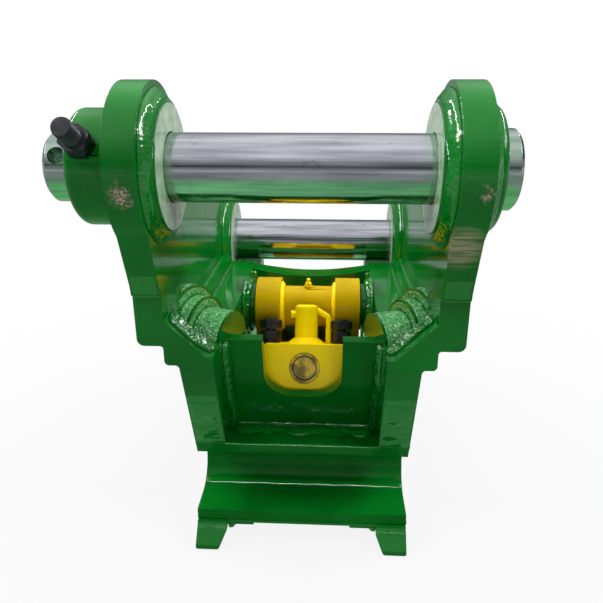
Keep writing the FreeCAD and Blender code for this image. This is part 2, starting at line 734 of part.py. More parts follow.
def hook_profile(x0, x1):
    """Hook seen from the side: hub, chin, neck, eye of the rod pin and the lip under the bucket pin."""
    lip_r = JAW_R + HOOK_FIT + HOOK_LIP_T
    throat = HOOK_REACH - JAW_R - HOOK_FIT
    half = HOOK_HUB_R
    neck = plate_yz([
        on_hook(0, half), on_hook(throat - 30, half - 6), on_hook(throat, half - 16),
        on_hook(throat + 10, -40), on_hook(throat - 6, half - HOOK_NECK - 10),
        on_hook(HOOK_REACH, -lip_r), on_hook(HOOK_REACH - lip_r, -half - 22), on_hook(0, -half),
    ], x0, x1)
    lower = plate_yz([
        on_hook(0, -half), on_hook(0, 0), on_hook(throat, 0), on_hook(throat, -half - 20),
        (ROD_PIN_Y + EYE_R * 0.3, ROD_PIN_Z - EYE_R * 1.05, 0),
        (ROD_PIN_Y - EYE_R * 1.05, ROD_PIN_Z - EYE_R * 0.2, 0),
    ], x0, x1)
    chin_front = PIVOT_Y - half + HOOK_CHIN_SET
    chin_z = PIVOT_Z - HOOK_CHIN
    chin = plate_yz([
        (chin_front, PIVOT_Z, 0), (chin_front, chin_z, 10), (PIVOT_Y + 10, chin_z - 20, 0),
        (PIVOT_Y + 10, PIVOT_Z, 0),
    ], x0, x1)
    lip_back = HOOK_REACH - lip_r - 5
    lip = cylinder_x(lip_r, x0, x1, SEAT_Y, SEAT_Z)
    lip = lip.cut(plate_yz([
        on_hook(HOOK_REACH + HOOK_LIP_END, -FAR), on_hook(HOOK_REACH + HOOK_LIP_END / 2, 0),
        on_hook(lip_back, 30), on_hook(lip_back, FAR), on_hook(HOOK_REACH + FAR, FAR),
        on_hook(HOOK_REACH + FAR, -FAR),
    ], x0, x1))
    return fuse([
        neck, lower, chin, lip, cylinder_x(HOOK_HUB_R, x0, x1, PIVOT_Y, PIVOT_Z),
        cylinder_x(EYE_R + 6, x0, x1, ROD_PIN_Y, ROD_PIN_Z),
    ])


def hook_arm():
    arm = hook_profile(HOOK_IN, HOOK_OUT)
    bush = cylinder_x(PIVOT_D / 2 + PIVOT_FIT + BUSH_WALL, 0, FAR, PIVOT_Y, PIVOT_Z)
    pin = cylinder_x(ROD_PIN_D / 2 + PIVOT_FIT, 0, FAR, ROD_PIN_Y, ROD_PIN_Z)
    return cut(arm, hook_mouth() + [bush, pin])


def hook_tube():
    tube = cylinder_x(HOOK_TUBE_R, -HOOK_IN, HOOK_IN, PIVOT_Y, PIVOT_Z)
    bore = cylinder_x(HOOK_TUBE_BORE_R, -FAR, FAR, PIVOT_Y, PIVOT_Z)
    boss = cylinder(7.5, Vector(0, PIVOT_Y, PIVOT_Z), Vector(0, PIVOT_Y, PIVOT_Z + HOOK_TUBE_R + 3))
    hole = cylinder(3.0, Vector(0, PIVOT_Y, PIVOT_Z), Vector(0, PIVOT_Y, PIVOT_Z + 60))
    return cut(fuse([tube, boss]), [bore, hole])


def grease_nipple():
    base = Vector(0, PIVOT_Y, PIVOT_Z + HOOK_TUBE_R + 3)
    up = Vector(0, 0, 1)
    ball = Part.makeSphere(3.2, base + up * 9.5)
    return fuse([
        cylinder(2.95, base - up * 6, base + up), hexagon(9.0, base, base + up * 5),
        cylinder(2.2, base + up * 4, base + up * 9), ball,
    ])


def hook_jaw_pad():
    """Thick bar between the hook arms, hollowed for the bucket pin."""
    lip_r = JAW_R + HOOK_FIT + HOOK_LIP_T - 6
    bar = cylinder_x(lip_r, -HOOK_IN, HOOK_IN, SEAT_Y, SEAT_Z)
    back = HOOK_REACH - HOOK_PAD_BACK
    keep = plate_yz([
        on_hook(HOOK_REACH + HOOK_LIP_END - 6, -FAR), on_hook(HOOK_REACH + HOOK_LIP_END / 3, -4),
        on_hook(back, -4), on_hook(back, -HOOK_WEB_LOW), on_hook(back + 12, -FAR),
    ], -HOOK_IN, HOOK_IN)
    rod_room = cylinder_x(EYE_R + 5, -FAR, FAR, ROD_PIN_Y, ROD_PIN_Z)
    return cut(bar.common(keep), hook_mouth() + [rod_room])


def hook_web():
    """Plate between the hook arms, from the tube back to the jaw pad, over the rod eye."""
    end = HOOK_REACH - HOOK_PAD_BACK
    high = HOOK_WEB_T - HOOK_WEB_LOW
    plate = plate_yz([
        on_hook(0, -HOOK_WEB_LOW), on_hook(end, -HOOK_WEB_LOW), on_hook(end, high), on_hook(0, high),
    ], -HOOK_IN, HOOK_IN)
    tube = cylinder_x(HOOK_TUBE_R, -FAR, FAR, PIVOT_Y, PIVOT_Z)
    eye_half = EYE_W / 2 + 3
    eye_room = cylinder_x(EYE_R + 5, -eye_half, eye_half, ROD_PIN_Y, ROD_PIN_Z)
    return cut(plate, [tube, eye_room])


def hook_bush():
    outer = PIVOT_D / 2 + PIVOT_FIT + BUSH_WALL
    ring = cylinder_x(outer, HOOK_IN, HOOK_OUT, PIVOT_Y, PIVOT_Z)
    return ring.cut(cylinder_x(PIVOT_D / 2 + PIVOT_FIT, 0, FAR, PIVOT_Y, PIVOT_Z))


def rod_pin():
    return cylinder_x(ROD_PIN_D / 2, -HOOK_OUT - 2, HOOK_OUT + 2, ROD_PIN_Y, ROD_PIN_Z)


def rod_pin_rings():
    """Retaining rings on the ends of the rod pin."""
    rings = []
    for side in (-1, 1):
        x0, x1 = sorted((side * (HOOK_OUT + 2), side * (HOOK_OUT + 6)))
        rings.append(cylinder_x(ROD_PIN_D / 2 + 4, x0, x1, ROD_PIN_Y, ROD_PIN_Z))
    return rings


def base_block():
    """Cylinder base: flat ported top, round bottom corners and the pin bore."""
    half = BASE_W / 2
    outline = [
        (-half, BASE_RISE, 2.5), (-half, -BASE_DROP, BASE_CORNER_R),
        (half, -BASE_DROP, BASE_CORNER_R), (half, BASE_RISE, 2.5),
    ]
    block = around_cylinder(plate_xz(outline, -BASE_FACE, BASE_BACK))
    bore = cylinder_x(BASE_PIN_D / 2 + PIVOT_FIT, -FAR, FAR, BASE_PIN_Y, BASE_PIN_Z)
    recess_r = PLUG_R + PLUG_GAP
    recess = cylinder(recess_r, along_cylinder(-BASE_FACE - 1), along_cylinder(-BASE_FACE + PLUG_T))
    tools = [bore, recess]
    for x in (-PORT_X, PORT_X):
        tools.append(cylinder(8.0, along_cylinder(0, BASE_RISE - 12, x), along_cylinder(0, BASE_RISE + 1, x)))
    return cut(block, tools)


def base_plug():
    """Screwed plug in the face of the cylinder base, with a groove around its middle disc."""
    proud = along_cylinder(-BASE_FACE - 1.2)
    seat = along_cylinder(-BASE_FACE + PLUG_T)
    body = cylinder(PLUG_R, along_cylinder(-BASE_FACE - 0.6), seat)
    disc = cylinder(PLUG_DISC_R, proud, seat)
    floor = along_cylinder(-BASE_FACE + PLUG_T - 1.5)
    groove = cylinder(PLUG_DISC_R + PLUG_GROOVE, proud, floor).cut(cylinder(PLUG_DISC_R, proud, floor))
    return fuse([body, disc]).cut(groove)


def barrel():
    tube = cylinder(BARREL_R, along_cylinder(BASE_BACK), along_cylinder(BARREL_END))
    floor = BASE_BACK + 8
    return tube.cut(cylinder(BORE_R, along_cylinder(floor), along_cylinder(BARREL_END + 1)))


def gland():
    """Screwed head of the cylinder that guides the rod."""
    end = BARREL_END + GLAND_LIP
    neck = cylinder(BORE_R - 0.1, along_cylinder(BARREL_END - GLAND_T), along_cylinder(BARREL_END))
    rim = cylinder(BARREL_R - 3, along_cylinder(BARREL_END), along_cylinder(end))
    bore = cylinder(ROD_R + 0.05, along_cylinder(0), along_cylinder(end + 1))
    seal = cylinder(ROD_R + 4, along_cylinder(end - 5), along_cylinder(end + 1))
    return cut(fuse([neck, rim]), [bore, seal])


def wiper_seal():
    end = BARREL_END + GLAND_LIP
    ring = cylinder(ROD_R + 4, along_cylinder(end - 5), along_cylinder(end + 2))
    return ring.cut(cylinder(ROD_R + 0.02, along_cylinder(0), along_cylinder(end + 5)))


def piston_place():
    return BARREL_END - GLAND_T - 6 - PISTON_T


def piston():
    start = piston_place()
    body = cylinder(BORE_R - 0.1, along_cylinder(start), along_cylinder(start + PISTON_T))
    groove = cylinder(BORE_R + 1, along_cylinder(start + 8), along_cylinder(start + 16))
    groove = groove.cut(cylinder(BORE_R - 4, along_cylinder(start), along_cylinder(start + PISTON_T)))
    bore = cylinder(ROD_R - 6, along_cylinder(0), along_cylinder(CYL_LENGTH))
    return cut(body, [groove, bore])


def piston_seal():
    start = piston_place() + 8
    ring = cylinder(BORE_R - 0.05, along_cylinder(start), along_cylinder(start + 8))
    return ring.cut(cylinder(BORE_R - 4, along_cylinder(0), along_cylinder(CYL_LENGTH)))


def rod():
    start = piston_place()
    neck = cylinder(ROD_R - 6, along_cylinder(start - 4), along_cylinder(start + PISTON_T + 1))
    shaft = cylinder(ROD_R, along_cylinder(start + PISTON_T), along_cylinder(CYL_LENGTH - ROD_END))
    return fuse([neck, shaft])


def rod_eye():
    eye = cylinder_x(EYE_R, -EYE_W / 2, EYE_W / 2, ROD_PIN_Y, ROD_PIN_Z)
    neck = cylinder(ROD_R + 5, along_cylinder(CYL_LENGTH - ROD_END), along_cylinder(CYL_LENGTH))
    bore = cylinder_x(ROD_PIN_D / 2 + ROD_PIN_PLAY, -FAR, FAR, ROD_PIN_Y, ROD_PIN_Z)
    return cut(fuse([eye, neck]), [bore])


def port_fitting(x):
    """Adapter on a port: collar, lower hexagon, neck and upper nut."""
    top = BASE_RISE + PORT_COLLAR_T + PORT_RISE
    stem = cylinder(7.9, along_cylinder(0, BASE_RISE - 10, x), along_cylinder(0, top, x))
    collar = cylinder(15.0, along_cylinder(0, BASE_RISE, x), along_cylinder(0, BASE_RISE + PORT_COLLAR_T, x))
    lower = hexagon(PORT_AF, along_cylinder(0, BASE_RISE + PORT_COLLAR_T, x), along_cylinder(0, top - 3, x))
    return fuse([stem, collar, lower])


def port_cap(x):
    """Screwed cap on a port adapter."""
    top = BASE_RISE + PORT_COLLAR_T + PORT_RISE
    nut = hexagon(PORT_UPPER_AF, along_cylinder(0, top, x), along_cylinder(0, top + PORT_CAP_T, x), 12.0)
    rim = cylinder(11.0, along_cylinder(0, top + PORT_CAP_T, x), along_cylinder(0, top + PORT_CAP_T + 2, x))
    return fuse([nut, rim])


def valve_tower():
    """Round check valve housing with a domed top and a flared foot, standing on the cylinder base."""
    foot = along_cylinder(TOWER_BACK, BASE_RISE)
    crown = along_cylinder(TOWER_BACK, BASE_RISE + TOWER_H)
    post = cylinder(TOWER_R, foot, crown)
    rim = [edge for edge in post.Edges if edge.Closed and edge.CenterOfMass.z > (foot.z + crown.z) / 2]
    post = post.makeFillet(TOWER_R / 3, rim)
    flare = Part.makeCone(TOWER_R + TOWER_FLARE, TOWER_R, TOWER_FLARE - 3, foot, crown - foot)
    barrel_room = cylinder(BARREL_R + 0.2, along_cylinder(BASE_BACK - 0.2), along_cylinder(BARREL_END))
    return fuse([post, flare]).cut(barrel_room)


def valve_plug():
    """Small side plug in the valve housing."""
    start = along_cylinder(TOWER_BACK, BASE_RISE + TOWER_H - 15, 1 - TOWER_R)
    end = start - Vector(7.5, 0, 0)
    post = cylinder(TOWER_R, along_cylinder(TOWER_BACK, 0), along_cylinder(TOWER_BACK, FAR))
    return cut(hexagon(11.0, start, end), [post])


def pressure_pipe():
    """Short hard line that falls from the valve housing to the base beside the right adapter."""
    end_x = PORT_X - PORT_AF / 2 - PIPE_R - 2
    start_rise = BASE_RISE + TOWER_H - PIPE_DROP
    fall = math.tan(math.radians(PIPE_FALL))
    start = along_cylinder(TOWER_BACK, start_rise - 1, TOWER_R + 0.3)
    corner = along_cylinder(TOWER_BACK, start_rise - 1 - (end_x - TOWER_R) * fall, end_x)
    end = along_cylinder(TOWER_BACK, BASE_RISE + 0.3, end_x)
    along = corner - start
    along.normalize()
    down = end - corner
    down.normalize()
    turn = along.getAngle(down)
    reach = PIPE_BEND * math.tan(turn / 2)
    leave = corner - along * reach
    enter = corner + down * reach
    inward = down - along * down.dot(along)
    inward.normalize()
    ring = Part.Face(Part.Wire(Part.Circle(leave, along, PIPE_R).toShape()))
    bend = ring.revolve(leave + inward * PIPE_BEND, along.cross(down), math.degrees(turn))
    post = cylinder(TOWER_R + 0.1, along_cylinder(TOWER_BACK, 0), along_cylinder(TOWER_BACK, FAR))
    flare = Part.makeCone(
        TOWER_R + TOWER_FLARE + 0.2, TOWER_R + 0.2, TOWER_FLARE - 3,
        along_cylinder(TOWER_BACK, BASE_RISE), along_cylinder(0, 1) - along_cylinder(0, 0))
    line = fuse([cylinder(PIPE_R, start - along * 3, leave), bend, cylinder(PIPE_R, enter, end)])
    return cut(line, [post, flare])


save_pair("ear_plate", ear_plate())
save_pair("shoulder_plate", shoulder_plate())
save_pair("side_plate", side_plate())
save_pair("front_gusset", front_gusset())
save_pair("step_boss", step_boss())
save("jaw_saddle", jaw_saddle())
save("front_plate", front_plate())
save("lip_blocks", Part.makeCompound([lip_block(), mirrored(lip_block())]))
save("keel_plate", keel_plate())
save("rear_cross_plate", rear_cross_plate())
save("rear_tie_plate", rear_tie_plate())

save_pair("stick_boss_inner", inner_boss(0, 0))
save_pair("link_boss_inner", inner_boss(PIN_SPACING, LINK_Z))
for boss_name, boss_y, boss_z in (("stick", 0, 0), ("link", PIN_SPACING, LINK_Z)):
    left = mirrored(boss_ring(BOSS_LEFT_R, EAR_OUT, EAR_OUT + BOSS_LEFT_T, boss_y, boss_z))
    save(boss_name + "_boss_outer_left", left.cut(lock_bore(boss_y, boss_z)))
    right_ring = boss_ring(BOSS_RIGHT_R, EAR_OUT, EAR_OUT + BOSS_RIGHT_T, boss_y, boss_z)
    save(boss_name + "_boss_outer_right", right_ring)
    save(boss_name + "_pin", hinge_pin(boss_y, boss_z))
save("lock_bolts", Part.makeCompound([lock_bolt(0, 0), lock_bolt(PIN_SPACING, LINK_Z)]))
save("lock_nuts", Part.makeCompound(lock_nuts(0, 0) + lock_nuts(PIN_SPACING, LINK_Z)))

save_pair("pivot_boss", pivot_boss())
save("pivot_pin", cylinder_x(PIVOT_D / 2, -EAR_IN, EAR_IN, PIVOT_Y, PIVOT_Z))
save_pair("cylinder_lug", cylinder_lug())
save("cylinder_pin", cylinder_x(BASE_PIN_D / 2, -SIDE_OUT, SIDE_OUT, BASE_PIN_Y, BASE_PIN_Z))
pivot_keeper, base_keeper = [keeper_plate(*pin) for pin in KEPT_PINS]
save("pivot_keepers", Part.makeCompound([pivot_keeper, mirrored(pivot_keeper)]))
save("cylinder_pin_keepers", Part.makeCompound([base_keeper, mirrored(base_keeper)]))
keeper_bolts = [keeper_bolt(*spot) for spot in keeper_spots()]
save("keeper_bolts", Part.makeCompound(keeper_bolts + [mirrored(bolt) for bolt in keeper_bolts]))

save_pair("hook_arm", hook_arm())
save("hook_tube", hook_tube())
save("hook_jaw_pad", hook_jaw_pad())
save("hook_web", hook_web())
save("hook_bushes", Part.makeCompound([hook_bush(), mirrored(hook_bush())]))
save("grease_nipple", grease_nipple())
save("rod_pin", rod_pin())
save("rod_pin_rings", Part.makeCompound(rod_pin_rings()))

save("cylinder_base", base_block())
save("base_plug", base_plug())
save("cylinder_barrel", barrel())
save("cylinder_gland", gland())
save("wiper_seal", wiper_seal())
save("port_adapters", Part.makeCompound([port_fitting(-PORT_X), port_fitting(PORT_X)]))
save("port_caps", Part.makeCompound([port_cap(-PORT_X), port_cap(PORT_X)]))
save("valve_tower", valve_tower())
save("valve_plug", valve_plug())
save("pressure_pipe", pressure_pipe())

save("piston_rod", rod())
save("piston", piston())
save("piston_seal", piston_seal())
save("rod_eye", rod_eye())
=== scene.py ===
"""Looks of the excavator quick coupler: paint, pin steel, welds, bolt threads, studio and camera."""
import json
import math

import bmesh
import bpy
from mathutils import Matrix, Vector, noise
from mathutils.bvhtree import BVHTree


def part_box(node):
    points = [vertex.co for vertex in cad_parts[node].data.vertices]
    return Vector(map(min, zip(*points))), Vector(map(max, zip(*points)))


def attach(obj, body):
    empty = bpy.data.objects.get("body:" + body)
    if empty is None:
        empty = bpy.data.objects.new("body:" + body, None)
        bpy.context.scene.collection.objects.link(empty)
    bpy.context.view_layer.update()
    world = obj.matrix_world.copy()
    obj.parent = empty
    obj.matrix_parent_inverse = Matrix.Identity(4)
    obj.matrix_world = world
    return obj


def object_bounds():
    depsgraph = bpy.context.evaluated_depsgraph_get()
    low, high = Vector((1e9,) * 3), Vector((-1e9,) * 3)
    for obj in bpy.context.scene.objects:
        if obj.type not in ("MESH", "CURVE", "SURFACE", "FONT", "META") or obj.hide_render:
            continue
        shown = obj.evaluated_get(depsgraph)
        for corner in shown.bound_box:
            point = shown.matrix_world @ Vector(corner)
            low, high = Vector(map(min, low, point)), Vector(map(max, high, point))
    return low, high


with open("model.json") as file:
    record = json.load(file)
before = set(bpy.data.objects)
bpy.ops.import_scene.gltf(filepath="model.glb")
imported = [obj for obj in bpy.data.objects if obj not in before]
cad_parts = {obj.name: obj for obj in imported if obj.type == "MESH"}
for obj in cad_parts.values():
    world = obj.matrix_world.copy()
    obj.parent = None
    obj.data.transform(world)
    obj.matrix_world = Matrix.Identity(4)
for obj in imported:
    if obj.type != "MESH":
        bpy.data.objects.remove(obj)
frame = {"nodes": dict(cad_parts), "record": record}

cad_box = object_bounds()
NODES = frame["nodes"]
MM = 0.001


def srgb(red, green, blue):
    """Linear colour from 0 to 255 display values."""
    linear = []
    for value in (red, green, blue):
        part = value / 255
        linear.append(part / 12.92 if part <= 0.04045 else ((part + 0.055) / 1.055) ** 2.4)
    return (*linear, 1.0)


def middle(node):
    """Middle of a node's box."""
    low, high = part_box(node)
    return (low + high) / 2


def round_radius(node):
    """Radius of a node that is round about an X axis."""
    low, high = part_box(node)
    return (high.z - low.z) / 2


# Places read from the frame
EAR_IN, EAR_OUT = (corner.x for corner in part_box("ear_plate_right"))
SIDE_IN, SIDE_OUT = (corner.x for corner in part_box("side_plate_right"))
BOSS_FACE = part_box("stick_boss_inner_right")[0].x
HOOK_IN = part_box("hook_arm_right")[0].x
FLOOR_Z = cad_box[0][2]
DECK_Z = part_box("side_plate_right")[1].z
FRONT_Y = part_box("front_gusset_right")[0].y
SHOULDER_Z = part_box("shoulder_plate_right")[1].z
GUSSET_TOP_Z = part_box("front_gusset_right")[1].z
GUSSET_FOOT_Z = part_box("front_gusset_right")[0].z
SADDLE_LOW, SADDLE_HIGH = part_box("jaw_saddle")
STICK = Vector((0, 0, 0))
LINK = Vector((0, *middle("link_boss_inner_right")[1:]))
PIVOT = Vector((0, *middle("pivot_boss_right")[1:]))
BOSS_R = round_radius("stick_boss_inner_right")
OUTER_LEFT_R = round_radius("stick_boss_outer_left")
OUTER_RIGHT_R = round_radius("stick_boss_outer_right")
PIVOT_R = round_radius("pivot_boss_right")
SADDLE_R = (SADDLE_HIGH.z - SADDLE_LOW.z) / 2
JAW = Vector((0, SADDLE_HIGH.y - SADDLE_R, (SADDLE_LOW.z + SADDLE_HIGH.z) / 2))
SIDES = (("left", -1), ("right", 1))

# Sizes that no box gives: the round steps, the front plate, the leaning front, gussets, saddle and feet
STEP_TURN = math.radians(18)
STEP_START = Vector((97, 50, -242)) * MM
STEP_RADII = (42 * MM, 57 * MM, 71 * MM)
STEP_LENGTHS = (42 * MM, 20 * MM, 40 * MM)
STEP_LAP = 2.5 * MM
STEP_ARC_START = -8
STEP_ARC = 196
PLATE_LEAN = math.radians(17.7)
PLATE_TOP = Vector((0, 29, -231)) * MM
PLATE_THICK = 20 * MM
FRONT_LEAN = math.radians(21)
LEAN_Z = -240 * MM
GUSSET_T = 28 * MM
GUSSET_SHELF = -178 * MM
GUSSET_DIP = Vector((116, 0, -225)) * MM
SADDLE_T = 18 * MM
LIP_BLOCK_W = 37 * MM
FOOT_CUT_H = 25 * MM
SHOULDER_FOOT = SHOULDER_Z - 25 * MM


class Graph:
    """A material's node tree with short helpers."""

    def __init__(self, name):
        self.material = bpy.data.materials.new(name)
        self.material.use_nodes = True
        self.nodes = self.material.node_tree.nodes
        self.links = self.material.node_tree.links
        self.shader = self.nodes["Principled BSDF"]

    def add(self, kind, **values):
        node = self.nodes.new(kind)
        for key, value in values.items():
            if hasattr(node, key):
                setattr(node, key, value)
            else:
                node.inputs[key.replace("_", " ")].default_value = value
        return node

    def join(self, out, into):
        self.links.new(out, into)

    def set(self, **values):
        for key, value in values.items():
            self.shader.inputs[key.replace("_", " ")].default_value = value

    def noise(self, scale, detail=3.0, stretch=(1, 1, 1), roughness=0.5):
        place = self.add("ShaderNodeTexCoord")
        mapping = self.add("ShaderNodeMapping")
        mapping.inputs["Scale"].default_value = stretch
        texture = self.add("ShaderNodeTexNoise", Scale=scale, Detail=detail, Roughness=roughness)
        self.join(place.outputs["Object"], mapping.inputs["Vector"])
        self.join(mapping.outputs["Vector"], texture.inputs["Vector"])
        return texture.outputs["Fac"]

    def spread(self, source, low, high, from_low=0.3, from_high=0.7):
        """Noise mapped to a range of values."""
        node = self.add(
            "ShaderNodeMapRange", From_Min=from_low, From_Max=from_high, To_Min=low, To_Max=high)
        self.join(source, node.inputs["Value"])
        return node.outputs["Result"]

    def blend(self, source, first, second, from_low=0.35, from_high=0.65):
        """Two colours mixed by noise."""
        ramp = self.add("ShaderNodeValToRGB")
        ramp.color_ramp.elements[0].position = from_low
        ramp.color_ramp.elements[0].color = first
        ramp.color_ramp.elements[1].position = from_high
        ramp.color_ramp.elements[1].color = second
        self.join(source, ramp.inputs["Fac"])
        return ramp.outputs["Color"]

    def product(self, first, second):
        node = self.add("ShaderNodeMath", operation="MULTIPLY")
        self.join(first, node.inputs[0])
        self.join(second, node.inputs[1])
        return node.outputs[0]

    def over(self, mask, below, above):
        """Colour laid over another where the mask is 1."""
        mix = self.add("ShaderNodeMix", data_type="RGBA")
        factor, first, second = mix.inputs[0], mix.inputs[6], mix.inputs[7]
        self.join(mask, factor)
        self.join(below, first)
        if isinstance(above, tuple):
            second.default_value = above
        else:
            self.join(above, second)
        return mix.outputs[2]

    def near(self, spot, radius, soft):
        """1 inside a ball about a place, fading to 0 over the soft distance."""
        place = self.add("ShaderNodeTexCoord")
        gap = self.add("ShaderNodeVectorMath", operation="DISTANCE")
        self.join(place.outputs["Object"], gap.inputs[0])
        gap.inputs[1].default_value = spot
        return self.spread(gap.outputs["Value"], 1.0, 0.0, radius - soft, radius + soft)

    def lines(self, scale, width):
        """1 along thin wandering lines, 0 between them."""
        source = self.noise(scale, detail=3.0, roughness=0.6)
        rising = self.spread(source, 0.0, 1.0, 0.5 - width, 0.5)
        falling = self.spread(source, 1.0, 0.0, 0.5, 0.5 + width)
        return self.product(rising, falling)

    def from_middle(self):
        """Distance from the part's middle plane."""
        place = self.add("ShaderNodeTexCoord")
        parts = self.add("ShaderNodeSeparateXYZ")
        away = self.add("ShaderNodeMath", operation="ABSOLUTE")
        self.join(place.outputs["Object"], parts.inputs[0])
        self.join(parts.outputs["X"], away.inputs[0])
        return away.outputs[0]

    def within(self, x, soft):
        """1 nearer to the middle plane than x, fading to 0 over the soft distance."""
        return self.spread(self.from_middle(), 1.0, 0.0, x - soft, x + soft)

    def ends(self, start, end, most):
        """0 up to a distance from the middle plane, rising to the most at a further one."""
        return self.spread(self.from_middle(), 0.0, most, start, end)

    def bump(self, heights):
        """Chain of bumps, each a (height source, strength, distance in metres)."""
        normal = None
        for source, strength, distance in heights:
            node = self.add("ShaderNodeBump", Strength=strength, Distance=distance)
            self.join(source, node.inputs["Height"])
            if normal is not None:
                self.join(normal, node.inputs["Normal"])
            normal = node.outputs["Normal"]
        self.join(normal, self.shader.inputs["Normal"])

    def skin(self, colour, rough, heights):
        """Joins colour, roughness and bumps to the shader, and returns the material."""
        self.join(colour, self.shader.inputs["Base Color"])
        self.join(rough, self.shader.inputs["Roughness"])
        self.bump(heights)
        return self.material


# Colours of the paints, of worn places, of painted light and shade, and of the steel
GREEN_DEEP = srgb(2, 84, 19)
GREEN_BRIGHT = srgb(4, 99, 25)
YELLOW_DEEP = srgb(236, 200, 0)
YELLOW_BRIGHT = srgb(250, 216, 0)
STEEL_DARK = srgb(150, 154, 162)
STEEL_LIGHT = srgb(198, 200, 207)
SCUFF_DARK = srgb(74, 58, 50)
SCUFF_LIGHT = srgb(186, 166, 150)
# Painted reflection: grey-olive colours of a patch on the right ear's front
REFLECTION_DARK = srgb(58, 76, 42)
REFLECTION_LIGHT = srgb(132, 132, 104)
# Pale green of thin lines laid over the crinkled paint: painted highlights
CRINKLE_HIGHLIGHT = srgb(150, 200, 146)
FACED_DARK = srgb(150, 178, 148)
FACED_LIGHT = srgb(206, 216, 200)
STAIN_DARK = srgb(120, 98, 4)
STAIN_LIGHT = srgb(214, 178, 0)
# Dark brown of the plug's groove ring: grime and painted shade
GROOVE_GRIME_AND_SHADE = srgb(46, 36, 10)
SOOT = srgb(92, 92, 96)
# Green tint mixed into the pin steel next to the bosses
GREEN_TINTED_STEEL = srgb(128, 176, 132)
# Lighter copy of the green paint for the weld build-up: a painted sheen
CRUST_SHEEN_DEEP = srgb(20, 108, 40)
CRUST_SHEEN_BRIGHT = srgb(56, 146, 70)
# Darker copy of the yellow paint for the hook's arms, tube and web: painted shade
HOOK_SHADED_DEEP = srgb(166, 136, 0)
HOOK_SHADED_BRIGHT = srgb(192, 158, 0)

# Ranges of roughness, and how deep flame-cut lines are pressed into the paint
GLOSSY = (0.07, 0.13)
WELD_GLOSS = (0.06, 0.11)
CRUST_GLOSS = (0.06, 0.10)
YELLOW_GLOSS = (0.22, 0.34)
YELLOW_WELD_GLOSS = (0.20, 0.32)
CUT_LINES = 0.10


def enamel(
        name, deep, bright, wave=1.0, cut_lines=0.0, scuffs=(), reflection_spot=None, gloss=GLOSSY, shine=0.36,
        crinkle_with_highlights=0.0):
    """Thick glossy workshop paint: slight colour drift, slow waves, and what its keywords add.

    cut_lines are flame-cut lines and scuffs are places worn to the metal; the reflection spot is a painted
    reflection, a grey-olive patch with a soft rim; and crinkle is the crumpled skin of paint over rough
    weld, with painted highlight lines on it.
    """
    g = Graph(name)
    colour = g.blend(g.noise(9.0), deep, bright)
    rough = g.spread(g.noise(24.0), *gloss)
    heights = [
        (g.noise(150.0, detail=2.0), 0.10 * wave, 0.0006),
        (g.noise(34.0, detail=2.0), 0.14 * wave, 0.0024),
    ]
    if cut_lines:
        heights.append((g.noise(330.0, detail=2.0, stretch=(0.03, 1, 1)), cut_lines, 0.0005))
    for spot, radius in scuffs:
        near = g.near(spot, radius, 0.35 * radius)
        torn = g.spread(g.noise(120.0, detail=5.0, roughness=0.6), 0.0, 0.85, 0.44, 0.62)
        mask = g.product(near, torn)
        bare = g.blend(g.noise(420.0, detail=5.0), SCUFF_DARK, SCUFF_LIGHT, 0.38, 0.62)
        colour = g.over(mask, colour, bare)
        heights.append((mask, 0.5, 0.0008))
    # A grey-olive patch laid on the paint inside a soft ball: a painted reflection
    if reflection_spot:
        painted_reflection = g.blend(g.noise(260.0, stretch=(0.08, 1, 1)), REFLECTION_DARK, REFLECTION_LIGHT)
        colour = g.over(g.near(*reflection_spot), colour, painted_reflection)
    # Thin pale lines painted over the crinkled paint stand in for its glints: painted highlights; the bump
    # is real
    if crinkle_with_highlights:
        colour = g.over(g.lines(140.0, 0.028), colour, CRINKLE_HIGHLIGHT)
        heights.append((g.noise(300.0, detail=4.0), crinkle_with_highlights, 0.0026))
    g.set(Specular_IOR_Level=shine)
    return g.skin(colour, rough, heights)


def faced_enamel(name, face):
    """Green paint on a boss whose inner face, at a distance from the middle plane, is machined and pale."""
    g = Graph(name)
    paint = g.blend(g.noise(9.0), GREEN_DEEP, GREEN_BRIGHT)
    bare = g.blend(g.noise(60.0, detail=5.0), FACED_DARK, FACED_LIGHT)
    colour = g.over(g.within(face, 0.3 * MM), paint, bare)
    rough = g.spread(g.noise(24.0), 0.12, 0.22)
    return g.skin(colour, rough, [(g.noise(500.0, detail=2.0), 0.15, 0.0003)])


def plug_enamel(name, spot, disc_r, groove):
    """Stained yellow paint, with a dark ring over the groove around the plug's middle disc: grime and
    painted shade.
    """
    g = Graph(name)
    stain = g.blend(g.noise(70.0, detail=4.0), STAIN_DARK, STAIN_LIGHT, 0.40, 0.60)
    inside = g.near(spot, disc_r + 0.4 * groove, 0.2 * groove)
    outside = g.near(spot, disc_r + 1.3 * groove, 0.2 * groove)
    rim = g.add("ShaderNodeMath", operation="SUBTRACT")
    g.join(outside, rim.inputs[0])
    g.join(inside, rim.inputs[1])
    # The ring over the groove is darkened: grime and painted shade
    colour = g.over(rim.outputs[0], stain, GROOVE_GRIME_AND_SHADE)
    rough = g.spread(g.noise(90.0), 0.25, 0.45)
    return g.skin(colour, rough, [(g.noise(90.0, detail=4.0), 0.5, 0.001)])


